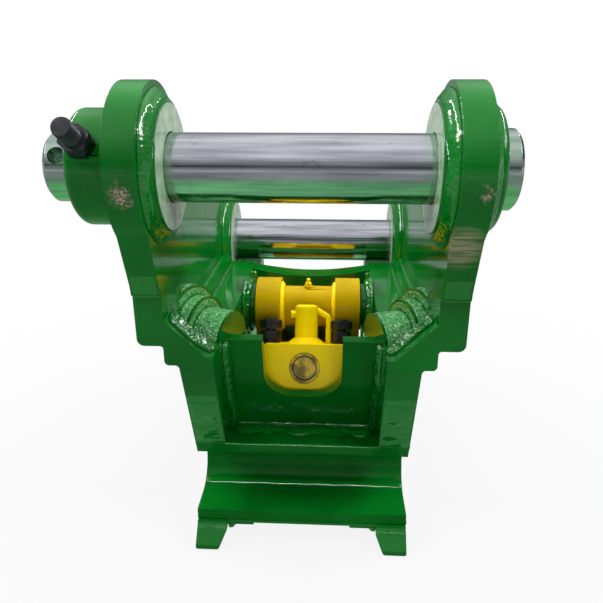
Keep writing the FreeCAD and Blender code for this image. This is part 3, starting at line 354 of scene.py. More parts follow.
def ground_steel(name, dark, light, green_tint=None):
    """Ground pin steel: fine lines round the pin, rubbed lengthwise bands and small scratches."""
    g = Graph(name)
    tone = g.blend(g.noise(30.0, stretch=(0.25, 4, 4)), dark, light)
    soot = g.spread(g.noise(75.0, detail=6.0, stretch=(0.5, 1, 1), roughness=0.7), 0.0, 0.7, 0.60, 0.74)
    colour = g.over(soot, tone, SOOT)
    # Green tint near the ends of the pin, laid over the steel's colour
    if green_tint:
        colour = g.over(g.ends(*green_tint), colour, GREEN_TINTED_STEEL)
    rough = g.spread(g.noise(60.0, stretch=(0.15, 5, 5)), 0.07, 0.15)
    g.set(Metallic=1.0)
    return g.skin(colour, rough, [
        (g.noise(240.0, stretch=(0.03, 3, 3)), 0.06, 0.0002),
        (g.noise(1100.0, stretch=(1.0, 0.05, 0.05)), 0.07, 0.0001),
    ])


def plain_metal(name, dark, light, roughness, metallic=1.0, grain=300.0):
    """Small machined or plated parts."""
    g = Graph(name)
    g.set(Metallic=metallic)
    colour = g.blend(g.noise(40.0), dark, light)
    return g.skin(colour, g.spread(g.noise(120.0), *roughness), [(g.noise(grain), 0.15, 0.0002)])


def rubber(name):
    """Dull black rubber of the seals."""
    g = Graph(name)
    colour = g.blend(g.noise(80.0), srgb(18, 18, 19), srgb(32, 32, 33))
    return g.skin(colour, g.spread(g.noise(200.0), 0.55, 0.75), [(g.noise(700.0), 0.2, 0.0002)])


FINISHES = {
    "green_paint": enamel("green_enamel", GREEN_DEEP, GREEN_BRIGHT, cut_lines=CUT_LINES),
    "yellow_paint": enamel("yellow_enamel", YELLOW_DEEP, YELLOW_BRIGHT, gloss=YELLOW_GLOSS, shine=0.08),
    "ground_steel": ground_steel("ground_steel", STEEL_DARK, STEEL_LIGHT),
    "black_oxide": plain_metal("black_oxide", srgb(26, 27, 30), srgb(52, 53, 59), (0.25, 0.42), 0.6),
    "zinc_steel": plain_metal("zinc_steel", srgb(150, 152, 156), srgb(190, 192, 195), (0.22, 0.38)),
    "bronze": plain_metal("bronze", srgb(150, 105, 50), srgb(178, 130, 70), (0.25, 0.4)),
    "chrome_rod": plain_metal(
        "chrome_rod", srgb(205, 207, 210), srgb(222, 223, 225), (0.06, 0.12), grain=900.0),
    "seal_rubber": rubber("seal_rubber"),
}

# Places worn to the metal: the spots on the ears; and one painted reflection spot with its soft rim
SCUFF_SPOTS = [
    (Vector((-182, -93, -16)) * MM, 13 * MM), (Vector((-180, -93, 4)) * MM, 6 * MM),
    (Vector((190, -95, -12)) * MM, 9 * MM),
]
PAINTED_REFLECTION_SPOT = (Vector((176, -78, -78)) * MM, 26 * MM, 8 * MM)

# Green tint on the stick pin's steel next to the bosses: where it begins and is full, in metres from the
# middle plane, and its share
PIN_GREEN_TINT = (0.130, 0.149, 0.4)

# The plug in the cylinder's base: its middle disc and the groove around that
PLUG_DISC_R = 16.4 * MM
PLUG_GROOVE = 1.8 * MM

WELD_PAINTS = {
    "green_paint": enamel(
        "green_weld_enamel", GREEN_DEEP, GREEN_BRIGHT, wave=2.5, gloss=WELD_GLOSS, shine=0.8),
    "yellow_paint": enamel(
        "yellow_weld_enamel", YELLOW_DEEP, YELLOW_BRIGHT, wave=2.0, gloss=YELLOW_WELD_GLOSS, shine=0.2),
}
GREEN_WELD = WELD_PAINTS["green_paint"]
# Paint of the rough weld build-up: the green made lighter, a painted sheen, with painted highlight lines
# over its crinkles
CRUST_SHEEN_PAINT = enamel(
    "green_crust_enamel_painted_sheen", CRUST_SHEEN_DEEP, CRUST_SHEEN_BRIGHT, wave=2.0, gloss=CRUST_GLOSS, shine=1.0, crinkle_with_highlights=1.0)
# Ear paint: scuffs worn to the metal, and on the right ear a painted reflection patch
SCUFFED_WITH_REFLECTION = enamel(
    "green_enamel_scuffed_painted_reflection", GREEN_DEEP, GREEN_BRIGHT, cut_lines=CUT_LINES, scuffs=SCUFF_SPOTS,
    reflection_spot=PAINTED_REFLECTION_SPOT)
# Hook paint: the same yellow made darker, painted shade
HOOK_SHADED_PAINT = enamel("yellow_enamel_hook_painted_shade", HOOK_SHADED_DEEP, HOOK_SHADED_BRIGHT, gloss=YELLOW_GLOSS, shine=0.06)
SATIN = enamel("green_enamel_satin", GREEN_DEEP, GREEN_BRIGHT, cut_lines=CUT_LINES, shine=0.12)
FACED = faced_enamel("green_enamel_faced", BOSS_FACE)
NODE_FINISHES = {
    "stick_boss_inner_left": FACED, "stick_boss_inner_right": FACED,
    "link_boss_inner_left": FACED, "link_boss_inner_right": FACED,
    "ear_plate_left": SCUFFED_WITH_REFLECTION, "ear_plate_right": SCUFFED_WITH_REFLECTION,
    "jaw_saddle": SATIN, "front_plate": SATIN,
    "hook_arm_left": HOOK_SHADED_PAINT, "hook_arm_right": HOOK_SHADED_PAINT,
    "hook_tube": HOOK_SHADED_PAINT, "hook_web": HOOK_SHADED_PAINT,
    "stick_pin": ground_steel("ground_steel_green_tint", STEEL_DARK, STEEL_LIGHT, PIN_GREEN_TINT),
    "base_plug": plug_enamel("plug_enamel", middle("base_plug"), PLUG_DISC_R, PLUG_GROOVE),
}

# Edge radii of the green plates, the yellow parts and everything small, in metres
PLATE_EDGE = 1.6 * MM
BLOCK_EDGE = 1.2 * MM
SMALL_EDGE = 0.35 * MM
SLOT_EDGES = {"green_paint": PLATE_EDGE, "yellow_paint": BLOCK_EDGE}
SHARP_ANGLE = math.radians(32)
MERGE_GAP = 2e-6


def dress(node, slot):
    """Gives a carried-over node its finish and soft edges."""
    piece = NODES[node]
    for place in piece.material_slots:
        place.material = NODE_FINISHES.get(node, FINISHES[slot])
    weld = piece.modifiers.new("joined_faces", "WELD")
    weld.merge_threshold = MERGE_GAP
    bevel = piece.modifiers.new("soft_edges", "BEVEL")
    bevel.width = SLOT_EDGES.get(slot, SMALL_EDGE)
    bevel.segments = 2
    bevel.limit_method = "ANGLE"
    bevel.angle_limit = SHARP_ANGLE
    bevel.use_clamp_overlap = True
    piece.modifiers.new("even_shading", "WEIGHTED_NORMAL")


for part in frame["record"]["subparts"]:
    dress(part["node"], part["material_slot"])


# Pieces made below: welds, the bar under the lip and bolt threads. The front strip lights only these.
MADE_HERE = bpy.data.collections.new("made_here")


def mesh_piece(name, body, verts, faces, material):
    """New smooth piece from vertices and faces, in the row frame, riding on a body."""
    mesh = bpy.data.meshes.new(name)
    mesh.from_pydata(verts, [], faces)
    shell = bmesh.new()
    shell.from_mesh(mesh)
    bmesh.ops.recalc_face_normals(shell, faces=shell.faces)
    for face in shell.faces:
        face.smooth = True
    shell.to_mesh(mesh)
    shell.free()
    mesh.materials.append(material)
    piece = bpy.data.objects.new(name, mesh)
    bpy.context.scene.collection.objects.link(piece)
    MADE_HERE.objects.link(piece)
    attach(piece, body)
    return piece


# Welds. A run is a list of corners, each with the two surface directions that the weld's legs lie on.
# Edges sink a little below the surface, and open ends start blunt.
RIPPLE = 5.5 * MM
WELD_STEP = 1.5 * MM
FACE_POINTS = 12
BEAD_SIDES = 12
CRUST_STEP = 1.6 * MM
TURN_STEPS = 72
SINK = 0.5 * MM
BLUNT = 0.5 * MM

# Unevenness: drift of legs, width and line as shares, crown as a share, ripple and grain in millimetres
LEG_DRIFT = 0.22
WIDTH_DRIFT = 0.25
LINE_DRIFT = 0.2
CROWN = 0.10
PASS_HEIGHT = 0.45
RIPPLE_HEIGHT = 0.5
COARSE_GRAIN = 0.9
FINE_GRAIN = 0.5

# How far ripples bow back in the middle, shift from pass to pass and wander, as shares of their pitch
RIPPLE_BOW = 0.45
PASS_SHIFT = 0.37
RIPPLE_WANDER = 0.3

# Beads: ripple and grain as shares of the width, and the share of the radius that is below the surface
BEAD_RIPPLE = 0.10
BEAD_GRAIN = 0.10
BEAD_SUNK = 0.25

# Rough build-up: full from a sixth of its width inwards, then shares of its height: mean, lumps and grain
CRUST_RIM = 6
CRUST_MEAN = 0.55
CRUST_LUMPS = 0.9
CRUST_GRAINS = 0.35


def spaced(run, closed):
    """Even stations along a run, each as (corner, up, out, distance)."""
    stations = list(run) + ([run[0]] if closed else [])
    lengths = [0.0]
    for a, b in zip(stations, stations[1:]):
        lengths.append(lengths[-1] + (b[0] - a[0]).length)
    count = max(4, round(lengths[-1] / WELD_STEP))
    result = []
    leg = 0
    for i in range(count + (0 if closed else 1)):
        s = lengths[-1] * i / count
        while leg < len(stations) - 2 and lengths[leg + 1] < s:
            leg += 1
        share = (s - lengths[leg]) / max(lengths[leg + 1] - lengths[leg], 1e-9)
        corner, up, out = (a.lerp(b, share) for a, b in zip(stations[leg], stations[leg + 1]))
        result.append((corner, up.normalized(), out.normalized(), s))
    return result


def fillet(name, run, leg_up, leg_out, body="frame", closed=False, passes=1, rough=1.0, slot="green_paint"):
    """Painted fillet weld laid in a corner: one or more passes with ripples, uneven legs and grain."""
    stations = spaced(run, closed)
    count = len(stations)
    total = stations[-1][3]
    verts, faces = [], []
    for corner, up, out, s in stations:
        seed = corner * 30
        grow = 1.0 + LEG_DRIFT * rough * noise.noise(seed)
        grow_out = 1.0 + LEG_DRIFT * rough * noise.noise(seed + Vector((9, 4, 2)))
        if not closed:
            near_end = min(s, total - s) + BLUNT
            taper = min(1.0, near_end / (0.8 * (leg_up + leg_out) / 2))
            taper = math.sqrt(taper * (2 - taper))
            grow *= taper
            grow_out *= taper
        rise = leg_up * grow
        reach = leg_out * grow_out
        face_way = (up * reach + out * rise).normalized()
        crown = CROWN * (rise + reach) / 2
        for k in range(FACE_POINTS):
            t = k / (FACE_POINTS - 1)
            belly = math.sin(math.pi * t)
            lane = t * passes
            layer = min(int(lane), passes - 1)
            across = 2 * (lane - layer) - 1
            hump = max(0.0, 1 - across * across)
            phase = RIPPLE_BOW * hump + PASS_SHIFT * layer + RIPPLE_WANDER * noise.noise(corner * 90)
            wave = abs(math.sin(math.pi * (s / RIPPLE - phase)))
            point = corner + up * (rise * (1 - t)) + out * (reach * t)
            grain = COARSE_GRAIN * noise.noise(point * 110) + FINE_GRAIN * noise.noise(point * 330)
            lift = crown * belly + rough * hump * (PASS_HEIGHT + RIPPLE_HEIGHT * wave) * MM
            lift += rough * belly * grain * MM
            if k in (0, FACE_POINTS - 1):
                lift = -SINK
            verts.append(point + face_way * lift)
        verts.append(corner - (up + out) * SINK)
    ring = FACE_POINTS + 1
    for i in range(count if closed else count - 1):
        j = (i + 1) % count
        for k in range(ring):
            m = (k + 1) % ring
            faces.append((i * ring + k, j * ring + k, j * ring + m, i * ring + m))
    if not closed:
        faces.append(tuple(range(ring)))
        faces.append(tuple((count - 1) * ring + k for k in range(ring)))
    mesh_piece(name, body, verts, faces, WELD_PAINTS[slot])


def straight(first, last, up, out):
    """Run along a straight corner."""
    up, out = Vector(up), Vector(out)
    return [(Vector(first), up, out), (Vector(last), up, out)]


def around(centre, radius, x, up_x, start=0.0, end=360.0):
    """Run around an X axis between a round side and a flat face; angles from +Y towards +Z."""
    run = []
    for i in range(TURN_STEPS + (0 if end - start >= 360 else 1)):
        angle = math.radians(start + (end - start) * i / TURN_STEPS)
        out = Vector((0, math.cos(angle), math.sin(angle)))
        run.append((Vector((x, centre.y, centre.z)) + out * radius, Vector((up_x, 0, 0)), out))
    return run


def outline(node, x):
    """Longest edge loop of a node's flat face at an X place, as ordered points."""
    mesh = NODES[node].data
    tolerance = 0.02 * MM
    key = {}
    uses = {}
    for face in mesh.polygons:
        points = [mesh.vertices[i].co for i in face.vertices]
        if any(abs(p.x - x) > tolerance for p in points):
            continue
        names = [tuple(round(value / (0.01 * MM)) for value in p) for p in points]
        key.update(zip(names, (p.copy() for p in points)))
        for a, b in zip(names, names[1:] + names[:1]):
            uses.setdefault(frozenset((a, b)), []).append((a, b))
    after = {}
    for pairs in uses.values():
        if len(pairs) == 1 and pairs[0][0] != pairs[0][1]:
            after[pairs[0][0]] = pairs[0][1]
    best, best_length = [], 0.0
    while after:
        start, here = next(iter(after.items()))
        del after[start]
        loop = [start]
        while here != start and here in after:
            loop.append(here)
            here = after.pop(here)
        points = [key[name] for name in loop]
        length = sum((b - a).length for a, b in zip(points, points[1:] + points[:1]))
        if length > best_length:
            best, best_length = points, length
    return best


def seam(node, x, up_x, keep):
    """Run along the kept part of a plate's outline, on the face of the plate behind it."""
    loop = outline(node, x)
    count = len(loop)
    area = sum(a.y * b.z - b.y * a.z for a, b in zip(loop, loop[1:] + loop[:1]))
    turn = 1 if area > 0 else -1
    kept = [keep(point) for point in loop]
    if all(kept):
        start = 0
    else:
        start = next(i for i in range(count) if kept[i] and not kept[i - 1])
    runs, current = [], []
    for i in range(start, start + count + (1 if all(kept) else 0)):
        j = i % count
        if not kept[j]:
            if current:
                runs.append(current)
            current = []
            continue
        way = (loop[(j + 1) % count] - loop[j - 1]).normalized()
        out = Vector((0, way.z, -way.y)) * turn
        current.append((loop[j].copy(), Vector((up_x, 0, 0)), out))
    if current:
        runs.append(current)
    return max(runs, key=lambda run: sum((b[0] - a[0]).length for a, b in zip(run, run[1:])))


def bead(name, path, radius, out, proud=0.5, rough=1.0):
    """Rippled weld bead on a face or an edge; proud is the share of the radius that stands out."""
    stations = spaced([(Vector(p), Vector(out), Vector(out)) for p in path], False)
    total = stations[-1][3]
    verts, faces = [], []
    for i, (corner, up, _, s) in enumerate(stations):
        ahead = stations[min(i + 1, len(stations) - 1)][0]
        behind = stations[max(i - 1, 0)][0]
        along = (ahead - behind).normalized()
        up = (up - along * up.dot(along)).normalized()
        side = along.cross(up)
        width = radius * (1 + WIDTH_DRIFT * rough * noise.noise(corner * 60))
        near_end = min(1.0, (min(s, total - s) + BLUNT) / radius)
        width *= math.sqrt(near_end * (2 - near_end))
        centre = corner + side * (LINE_DRIFT * radius * noise.noise(corner * 45 + Vector((7, 3, 5))))
        for k in range(BEAD_SIDES):
            angle = 2 * math.pi * k / BEAD_SIDES
            wave = abs(math.sin(math.pi * (s / RIPPLE - 0.5 * abs(math.sin(angle)))))
            lift = 1 + BEAD_RIPPLE * rough * wave + BEAD_GRAIN * rough * noise.noise(corner * 320 + up * k)
            height = proud if math.cos(angle) > 0 else BEAD_SUNK
            verts.append(centre + (up * math.cos(angle) * height + side * math.sin(angle)) * width * lift)
    for i in range(len(stations) - 1):
        for k in range(BEAD_SIDES):
            m = (k + 1) % BEAD_SIDES
            a, b = i * BEAD_SIDES, (i + 1) * BEAD_SIDES
            faces.append((a + k, b + k, b + m, a + m))
    faces.append(tuple(range(BEAD_SIDES)))
    faces.append(tuple((len(stations) - 1) * BEAD_SIDES + k for k in range(BEAD_SIDES)))
    mesh_piece(name, "frame", verts, faces, GREEN_WELD)


def crust(name, place, across, along, height, grain, stretch=(1, 1, 1), paint=CRUST_SHEEN_PAINT):
    """Uneven weld build-up over a surface. place(u, v) gives a point and the way out of the surface."""
    columns = max(4, round(across / CRUST_STEP))
    rows = max(4, round(along / CRUST_STEP))
    upper, lower, faces = [], [], []
    for j in range(rows + 1):
        for i in range(columns + 1):
            u, v = i / columns, j / rows
            point, way = place(u, v)
            seed = Vector(a * b for a, b in zip(point, stretch)) * grain
            edge = min(1.0, CRUST_RIM * min(u, 1 - u), CRUST_RIM * min(v, 1 - v))
            swell = CRUST_MEAN + CRUST_LUMPS * noise.noise(seed) + CRUST_GRAINS * noise.noise(seed * 2.7)
            lift = -SINK if edge <= 0 else height * edge * max(0.05, swell)
            upper.append(point + way * lift)
            lower.append(point - way * 3 * SINK)
    verts = upper + lower
    shift = len(upper)
    stride = columns + 1
    for j in range(rows):
        for i in range(columns):
            a = j * stride + i
            faces.append((a, a + 1, a + 1 + stride, a + stride))
            faces.append((a + shift, a + stride + shift, a + 1 + stride + shift, a + 1 + shift))
    rim = [(i, i + 1) for i in range(columns)]
    rim += [(rows * stride + i + 1, rows * stride + i) for i in range(columns)]
    rim += [((j + 1) * stride, j * stride) for j in range(rows)]
    rim += [(j * stride + columns, (j + 1) * stride + columns) for j in range(rows)]
    faces.extend((b, a, a + shift, b + shift) for a, b in rim)
    mesh_piece(name, "frame", verts, faces, paint)


def gusset_front(z):
    """Front face of the body at a height: upright above the bend, leaning back below it."""
    return FRONT_Y + max(0.0, LEAN_Z - z) * math.tan(FRONT_LEAN)


def front_patch(node, x0, x1, z_top, z_foot):
    """Place function for a patch on the front of a plate, found by looking along +Y."""
    mesh = NODES[node].data
    tree = BVHTree.FromPolygons([v.co for v in mesh.vertices], [f.vertices[:] for f in mesh.polygons])
    ahead = Vector((0, 1, 0))

    def place(u, v):
        start = Vector((x0 + (x1 - x0) * u, cad_box[0][1] - 0.1, z_top + (z_foot - z_top) * v))
        hit, way = tree.ray_cast(start, ahead)[:2]
        if hit is None:
            raise ValueError("no surface of " + node + " at " + str(tuple(start)))
        return hit, way if way.y < 0 else -way
    return place


def boss_welds():
    """Welds around the bosses of both pins, inside and outside the ears."""
    height = 0.88 * (EAR_IN - BOSS_FACE)
    for name, side in SIDES:
        outer, leg, passes = (OUTER_LEFT_R, 8 * MM, 1) if side < 0 else (OUTER_RIGHT_R, 12 * MM, 2)
        for pin, centre in (("stick", STICK), ("link", LINK)):
            run = around(centre, BOSS_R, side * EAR_IN, -side)
            fillet(f"weld_{pin}_inner_{name}", run, height, 16 * MM, closed=True, passes=2, rough=0.8)
            run = around(centre, outer, side * EAR_OUT, side)
            fillet(f"weld_{pin}_outer_{name}", run, leg, leg, closed=True, passes=passes)


def pivot_welds():
    """Heavy uneven welds of the pivot bosses, and the welds of the hook's tube."""
    low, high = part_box("hook_tube")
    for name, side in SIDES:
        run = around(PIVOT, PIVOT_R, side * SIDE_IN, -side)
        fillet(f"weld_pivot_{name}", run, 13 * MM, 12 * MM, closed=True, passes=2, rough=2.2)
        run = around(PIVOT, (high.y - low.y) / 2, side * HOOK_IN, -side)
        fillet(
            f"weld_hook_tube_{name}", run, 6 * MM, 8 * MM, body="hook", closed=True, rough=0.8,
            slot="yellow_paint")


def step_welds():
    """Rough build-up over the three round steps and on the faces between them."""
    gusset_back = FRONT_Y + GUSSET_T
    for name, side in SIDES:
        way = Vector((side * math.cos(STEP_TURN), math.sin(STEP_TURN), 0))
        start = Vector((side * STEP_START.x, STEP_START.y, STEP_START.z))
        level = Vector((way.y, -way.x, 0))
        level *= -1 if level.y > 0 else 1

        def inside(point):
            x = side * min(side * point.x, EAR_IN + SINK)
            return Vector((x, max(point.y, gusset_back - SINK), point.z))

        def spoke(u):
            angle = math.radians(STEP_ARC_START + STEP_ARC * u)
            return level * math.cos(angle) + Vector((0, 0, math.sin(angle)))

        def over_ring(centre, radius, length):
            def place(u, v):
                out = spoke(u)
                return inside(centre + way * (STEP_LAP + (length - STEP_LAP) * v) + out * radius), out
            return place

        def over_face(centre, inner, outer):
            def place(u, v):
                return inside(centre + spoke(u) * (inner + (outer - STEP_LAP - inner) * v)), -way
            return place

        for i, (radius, length) in enumerate(zip(STEP_RADII, STEP_LENGTHS)):
            ring = over_ring(start, radius, length)
            crust(f"crust_ring_{i}_{name}", ring, 3 * radius, length, 0.9 * MM, 240)
            start = start + way * length
            if i < 2:
                larger = STEP_RADII[i + 1]
                disc = over_face(start, radius, larger)
                crust(f"crust_face_{i}_{name}", disc, 3 * larger, larger - radius, 0.8 * MM, 260)


def gusset_welds():
    """Welds behind the gussets' top edge, seams around them, and the rough skin of the ears above."""
    back = FRONT_Y + GUSSET_T
    patch_h = 26 * MM
    for name, side in SIDES:
        slope = Vector((side * (GUSSET_DIP.x - EAR_IN), 0, GUSSET_DIP.z - GUSSET_SHELF)).normalized()
        up = Vector((slope.z * side, 0, -slope.x * side))
        up = up if up.z > 0 else -up
        towards = Vector((0, -1, 0))
        run = [
            (Vector((side * (EAR_IN - 1 * MM), back, GUSSET_SHELF)), up, towards),
            (Vector((side * (GUSSET_DIP.x + 3 * MM), back, GUSSET_DIP.z + 3 * MM)), up, towards),
            (Vector((side * (GUSSET_DIP.x - 3 * MM), back, GUSSET_DIP.z)), Vector((0, 0, 1)), towards),
            (Vector((side * SIDE_IN, back, GUSSET_DIP.z)), Vector((0, 0, 1)), towards),
        ]
        fillet(f"weld_shelf_{name}", run, 9 * MM, 11 * MM if side > 0 else 17 * MM, passes=2, rough=2.6)
        bead(f"weld_ear_seam_{name}", [
            (side * (EAR_IN + 1 * MM), FRONT_Y - 0.5 * MM, GUSSET_TOP_Z),
            (side * (EAR_OUT - 1 * MM), FRONT_Y - 0.5 * MM, GUSSET_TOP_Z),
        ], 3.4 * MM, (0, -1, 0), proud=0.45, rough=1.6)
        bead(f"weld_ear_seam_side_{name}", [
            (side * EAR_OUT, FRONT_Y + 2 * MM, GUSSET_TOP_Z), (side * EAR_OUT, back, GUSSET_TOP_Z),
        ], 5 * MM, (side, 0, 0), proud=0.35)
        bead(f"weld_ear_back_seam_{name}", [
            (side * EAR_OUT, back, GUSSET_TOP_Z), (side * EAR_OUT, back, SHOULDER_Z),
        ], 5 * MM, (side, 0, 0), proud=0.35)
        bead(f"weld_gusset_side_{name}", [
            (side * SIDE_OUT, back, SHOULDER_FOOT), (side * SIDE_OUT, back + 1 * MM, LEAN_Z),
            (side * SIDE_OUT, back + (LEAN_Z - GUSSET_FOOT_Z) * math.tan(FRONT_LEAN), GUSSET_FOOT_Z),
        ], 5 * MM, (side, 0, 0), proud=0.4)
        patch = front_patch(
            f"ear_plate_{name}", side * (EAR_IN + 1.5 * MM), side * (EAR_OUT - 1.5 * MM),
            GUSSET_TOP_Z + patch_h + 1 * MM, GUSSET_TOP_Z + 1 * MM)
        crust(f"crust_ear_{name}", patch, EAR_OUT - EAR_IN, patch_h, 1.0 * MM, 90, paint=GREEN_WELD)


def body_front_welds():
    """Welds of the front plate, the wavy build-up beside it, and the edge of the lip."""
    lean = Vector((0, math.sin(PLATE_LEAN), -math.cos(PLATE_LEAN)))
    facing = Vector((0, -math.cos(PLATE_LEAN), -math.sin(PLATE_LEAN)))
    length = 0.0
    foot = PLATE_TOP
    while (foot - JAW).length >= SADDLE_R:
        length += 0.2 * MM
        foot = PLATE_TOP + lean * length
    for name, side in SIDES:
        top = PLATE_TOP + Vector((side * SIDE_IN, 0, 0)) + lean * 3 * MM
        run = straight(top, top + lean * (length - 8 * MM), (-side, 0, 0), facing)
        fillet(f"weld_column_{name}", run, 11 * MM, 11 * MM, rough=1.2)
        back = PLATE_TOP + Vector((side * SIDE_IN, PLATE_THICK, 0)) + lean * 4 * MM
        run = straight(back, back + lean * (length - 30 * MM), (-side, 0, 0), -facing)
        fillet(f"weld_column_back_{name}", run, 8 * MM, 8 * MM)
        patch = front_patch(
            f"side_plate_{name}", side * (SIDE_IN + 1 * MM), side * (SIDE_OUT - 1 * MM),
            GUSSET_FOOT_Z - 1 * MM, SADDLE_HIGH.z + 3 * MM)
        crust(f"crust_front_{name}", patch, SIDE_OUT - SIDE_IN, GUSSET_FOOT_Z - SADDLE_HIGH.z,
              2.4 * MM, 34, stretch=(0.5, 1, 1.4), paint=GREEN_WELD)
        bead(f"weld_gusset_foot_{name}", [
            (side * (SIDE_IN + 2 * MM), gusset_front(GUSSET_FOOT_Z), GUSSET_FOOT_Z),
            (side * (SIDE_OUT - 1 * MM), gusset_front(GUSSET_FOOT_Z), GUSSET_FOOT_Z),
        ], 4.5 * MM, (0, -1, 0), proud=0.35, rough=2.4)
    over = (Vector((0, JAW.y, JAW.z + SADDLE_R)) - foot).normalized()
    ends = [Vector((side * (SIDE_IN - 1 * MM), foot.y, foot.z)) for side in (-1, 1)]
    run = straight(ends[0], ends[1], -lean, over)
    fillet("weld_front_foot", run, 14 * MM, 42 * MM, passes=3, rough=1.3)
    toes = (("high", foot - lean * 13 * MM, facing), ("low", foot + over * 40 * MM, -lean))
    for place, spot, out in toes:
        toe = [(side * (SIDE_IN - 8 * MM), spot.y, spot.z) for side in (-1, 1)]
        bead(f"weld_front_toe_{place}", toe, 3.2 * MM, out, proud=0.55, rough=2.4)
    edge_y = gusset_front(SADDLE_HIGH.z) + 2 * MM
    bead("weld_lip_edge", [
        (-SIDE_IN - 3 * MM, edge_y, SADDLE_HIGH.z), (SIDE_IN + 3 * MM, edge_y, SADDLE_HIGH.z),
    ], 2.4 * MM, (0, 0, 1), proud=0.5, rough=1.5)


def jaw_ridge():
    """Line where the bored part of the fixed jaw starts, standing slightly proud."""
    bore = SADDLE_R - SADDLE_T
    turn = math.radians(-62)
    spot = JAW + Vector((0, math.cos(turn), math.sin(turn))) * bore
    ends = [(side * (SIDE_OUT - 1 * MM), spot.y, spot.z) for side in (-1, 1)]
    bead("jaw_bore_edge", ends, 4.5 * MM, (0, -math.cos(turn), -math.sin(turn)), proud=0.25, rough=0.4)


def foot_welds():
    """Welds of the blocks under the lip, and the rough fronts of the feet."""
    low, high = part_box("lip_blocks")
    start, end = low.y + 3 * MM, high.y - 1 * MM
    down = (0, 0, -1)
    for name, side in SIDES:
        corner = side * SIDE_IN
        run = straight((corner, start, low.z), (corner, end, low.z), (-side, 0, 0), down)
        fillet(f"weld_foot_{name}", run, 15 * MM, 15 * MM, passes=2, rough=1.6)
        tip = corner - side * LIP_BLOCK_W
        run = straight((tip, start, high.z), (tip, end, high.z), (-side, 0, 0), down)
        fillet(f"weld_block_{name}", run, 9 * MM, 9 * MM, rough=1.6)
        patch = front_patch(
            f"side_plate_{name}", side * (SIDE_IN + 1 * MM), side * (SIDE_OUT - 1 * MM),
            SADDLE_LOW.z - 5 * MM, FLOOR_Z + FOOT_CUT_H)
        crust(f"crust_foot_{name}", patch, SIDE_OUT - SIDE_IN, SADDLE_LOW.z - FLOOR_Z, 1.4 * MM, 90,
              paint=GREEN_WELD)


def lip_front_bar():
    """Bar under the front of the lower lip, which gives it its full thickness."""
    depth, thick, round_off = 34 * MM, 5.5 * MM, 2 * MM
    front, top = SADDLE_LOW.y + 0.3 * MM, SADDLE_LOW.z + 0.5 * MM
    low = top - thick
    profile = [(front, top), (front, low + round_off)]
    for i in range(1, 5):
        angle = math.pi / 2 * i / 4
        profile.append((front + round_off * (1 - math.cos(angle)), low + round_off * (1 - math.sin(angle))))
    profile += [(front + depth, low), (front + depth, top)]
    count = len(profile)
    verts = [(x, y, z) for x in (-SIDE_OUT + 0.4 * MM, SIDE_OUT - 0.4 * MM) for y, z in profile]
    faces = [(k, (k + 1) % count, count + (k + 1) % count, count + k) for k in range(count)]
    faces += [tuple(range(count)), tuple(range(count, 2 * count))]
    bar = mesh_piece("lip_front_bar", "frame", verts, faces, FINISHES["green_paint"])
    shading = bar.modifiers.new("edge_split", "EDGE_SPLIT")
    shading.split_angle = math.radians(30)


def outer_welds():
    """Seams of the ears and shoulders outside, and along the deck inside."""
    back_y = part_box("shoulder_plate_right")[1].y - 3 * MM
    ledges = (("deck", SIDE_OUT, 390 * MM, DECK_Z), ("ear_ledge", EAR_IN, 375 * MM, SHOULDER_Z))
    for name, side in SIDES:
        run = seam(
            f"ear_plate_{name}", side * EAR_IN, side,
            lambda p: p.z < SHOULDER_Z + 3 * MM and p.y < back_y)
        fillet(f"weld_ear_shoulder_{name}", run, 11 * MM, 11 * MM, passes=2)
        run = seam(
            f"shoulder_plate_{name}", side * SIDE_OUT, side,
            lambda p: p.z < SHOULDER_FOOT + 2 * MM and p.y < back_y)
        fillet(f"weld_shoulder_side_{name}", run, 8 * MM, 8 * MM)
        for place, x, end, z in ledges:
            run = straight((side * x, 0, z), (side * x, end, z), (0, 0, 1), (-side, 0, 0))
            fillet(f"weld_{place}_{name}", run, 4 * MM, 4 * MM)


def plate_end_welds(node, legs):
    """Fillets along the four lengthwise corners where a cross piece meets the side plates."""
    low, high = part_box(node)
    for name, side in SIDES:
        for place, z, way in (("top", high.z, 1), ("foot", low.z, -1)):
            x = side * SIDE_IN
            run = straight((x, low.y + 2 * MM, z), (x, high.y - 2 * MM, z), (-side, 0, 0), (0, 0, way))
            fillet(f"weld_{node}_{place}_{name}", run, legs, legs)


def inner_welds():
    """Welds inside the body: cross plates, keel, lugs and the jaw saddle."""
    plate_end_welds("rear_tie_plate", 8 * MM)
    plate_end_welds("keel_plate", 7 * MM)
    low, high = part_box("rear_cross_plate")
    for name, side in SIDES:
        x = side * SIDE_IN
        for place, y, way in (("front", low.y, -1), ("back", high.y, 1)):
            run = straight((x, y, low.z + 1 * MM), (x, y, high.z - 4 * MM), (-side, 0, 0), (0, way, 0))
            fillet(f"weld_cross_{place}_{name}", run, 8 * MM, 8 * MM)
        run = seam(f"cylinder_lug_{name}", x, -side, lambda p: True)
        fillet(f"weld_lug_{name}", run, 7 * MM, 7 * MM, closed=True)
        run = around(JAW, SADDLE_R, x, -side, -92, 40)
        fillet(f"weld_saddle_inner_{name}", run, 9 * MM, 9 * MM)
        arc = [p for p, _, _ in around(JAW, SADDLE_R, side * SIDE_OUT, side, -90, 90)]
        lip = [Vector((side * SIDE_OUT, SADDLE_LOW.y + 3 * MM, SADDLE_LOW.z))]
        brow = [Vector((side * SIDE_OUT, gusset_front(SADDLE_HIGH.z) + 3 * MM, SADDLE_HIGH.z))]
        bead(f"weld_saddle_outer_{name}", lip + arc + brow, 5 * MM, (side, 0, 0), proud=0.4)


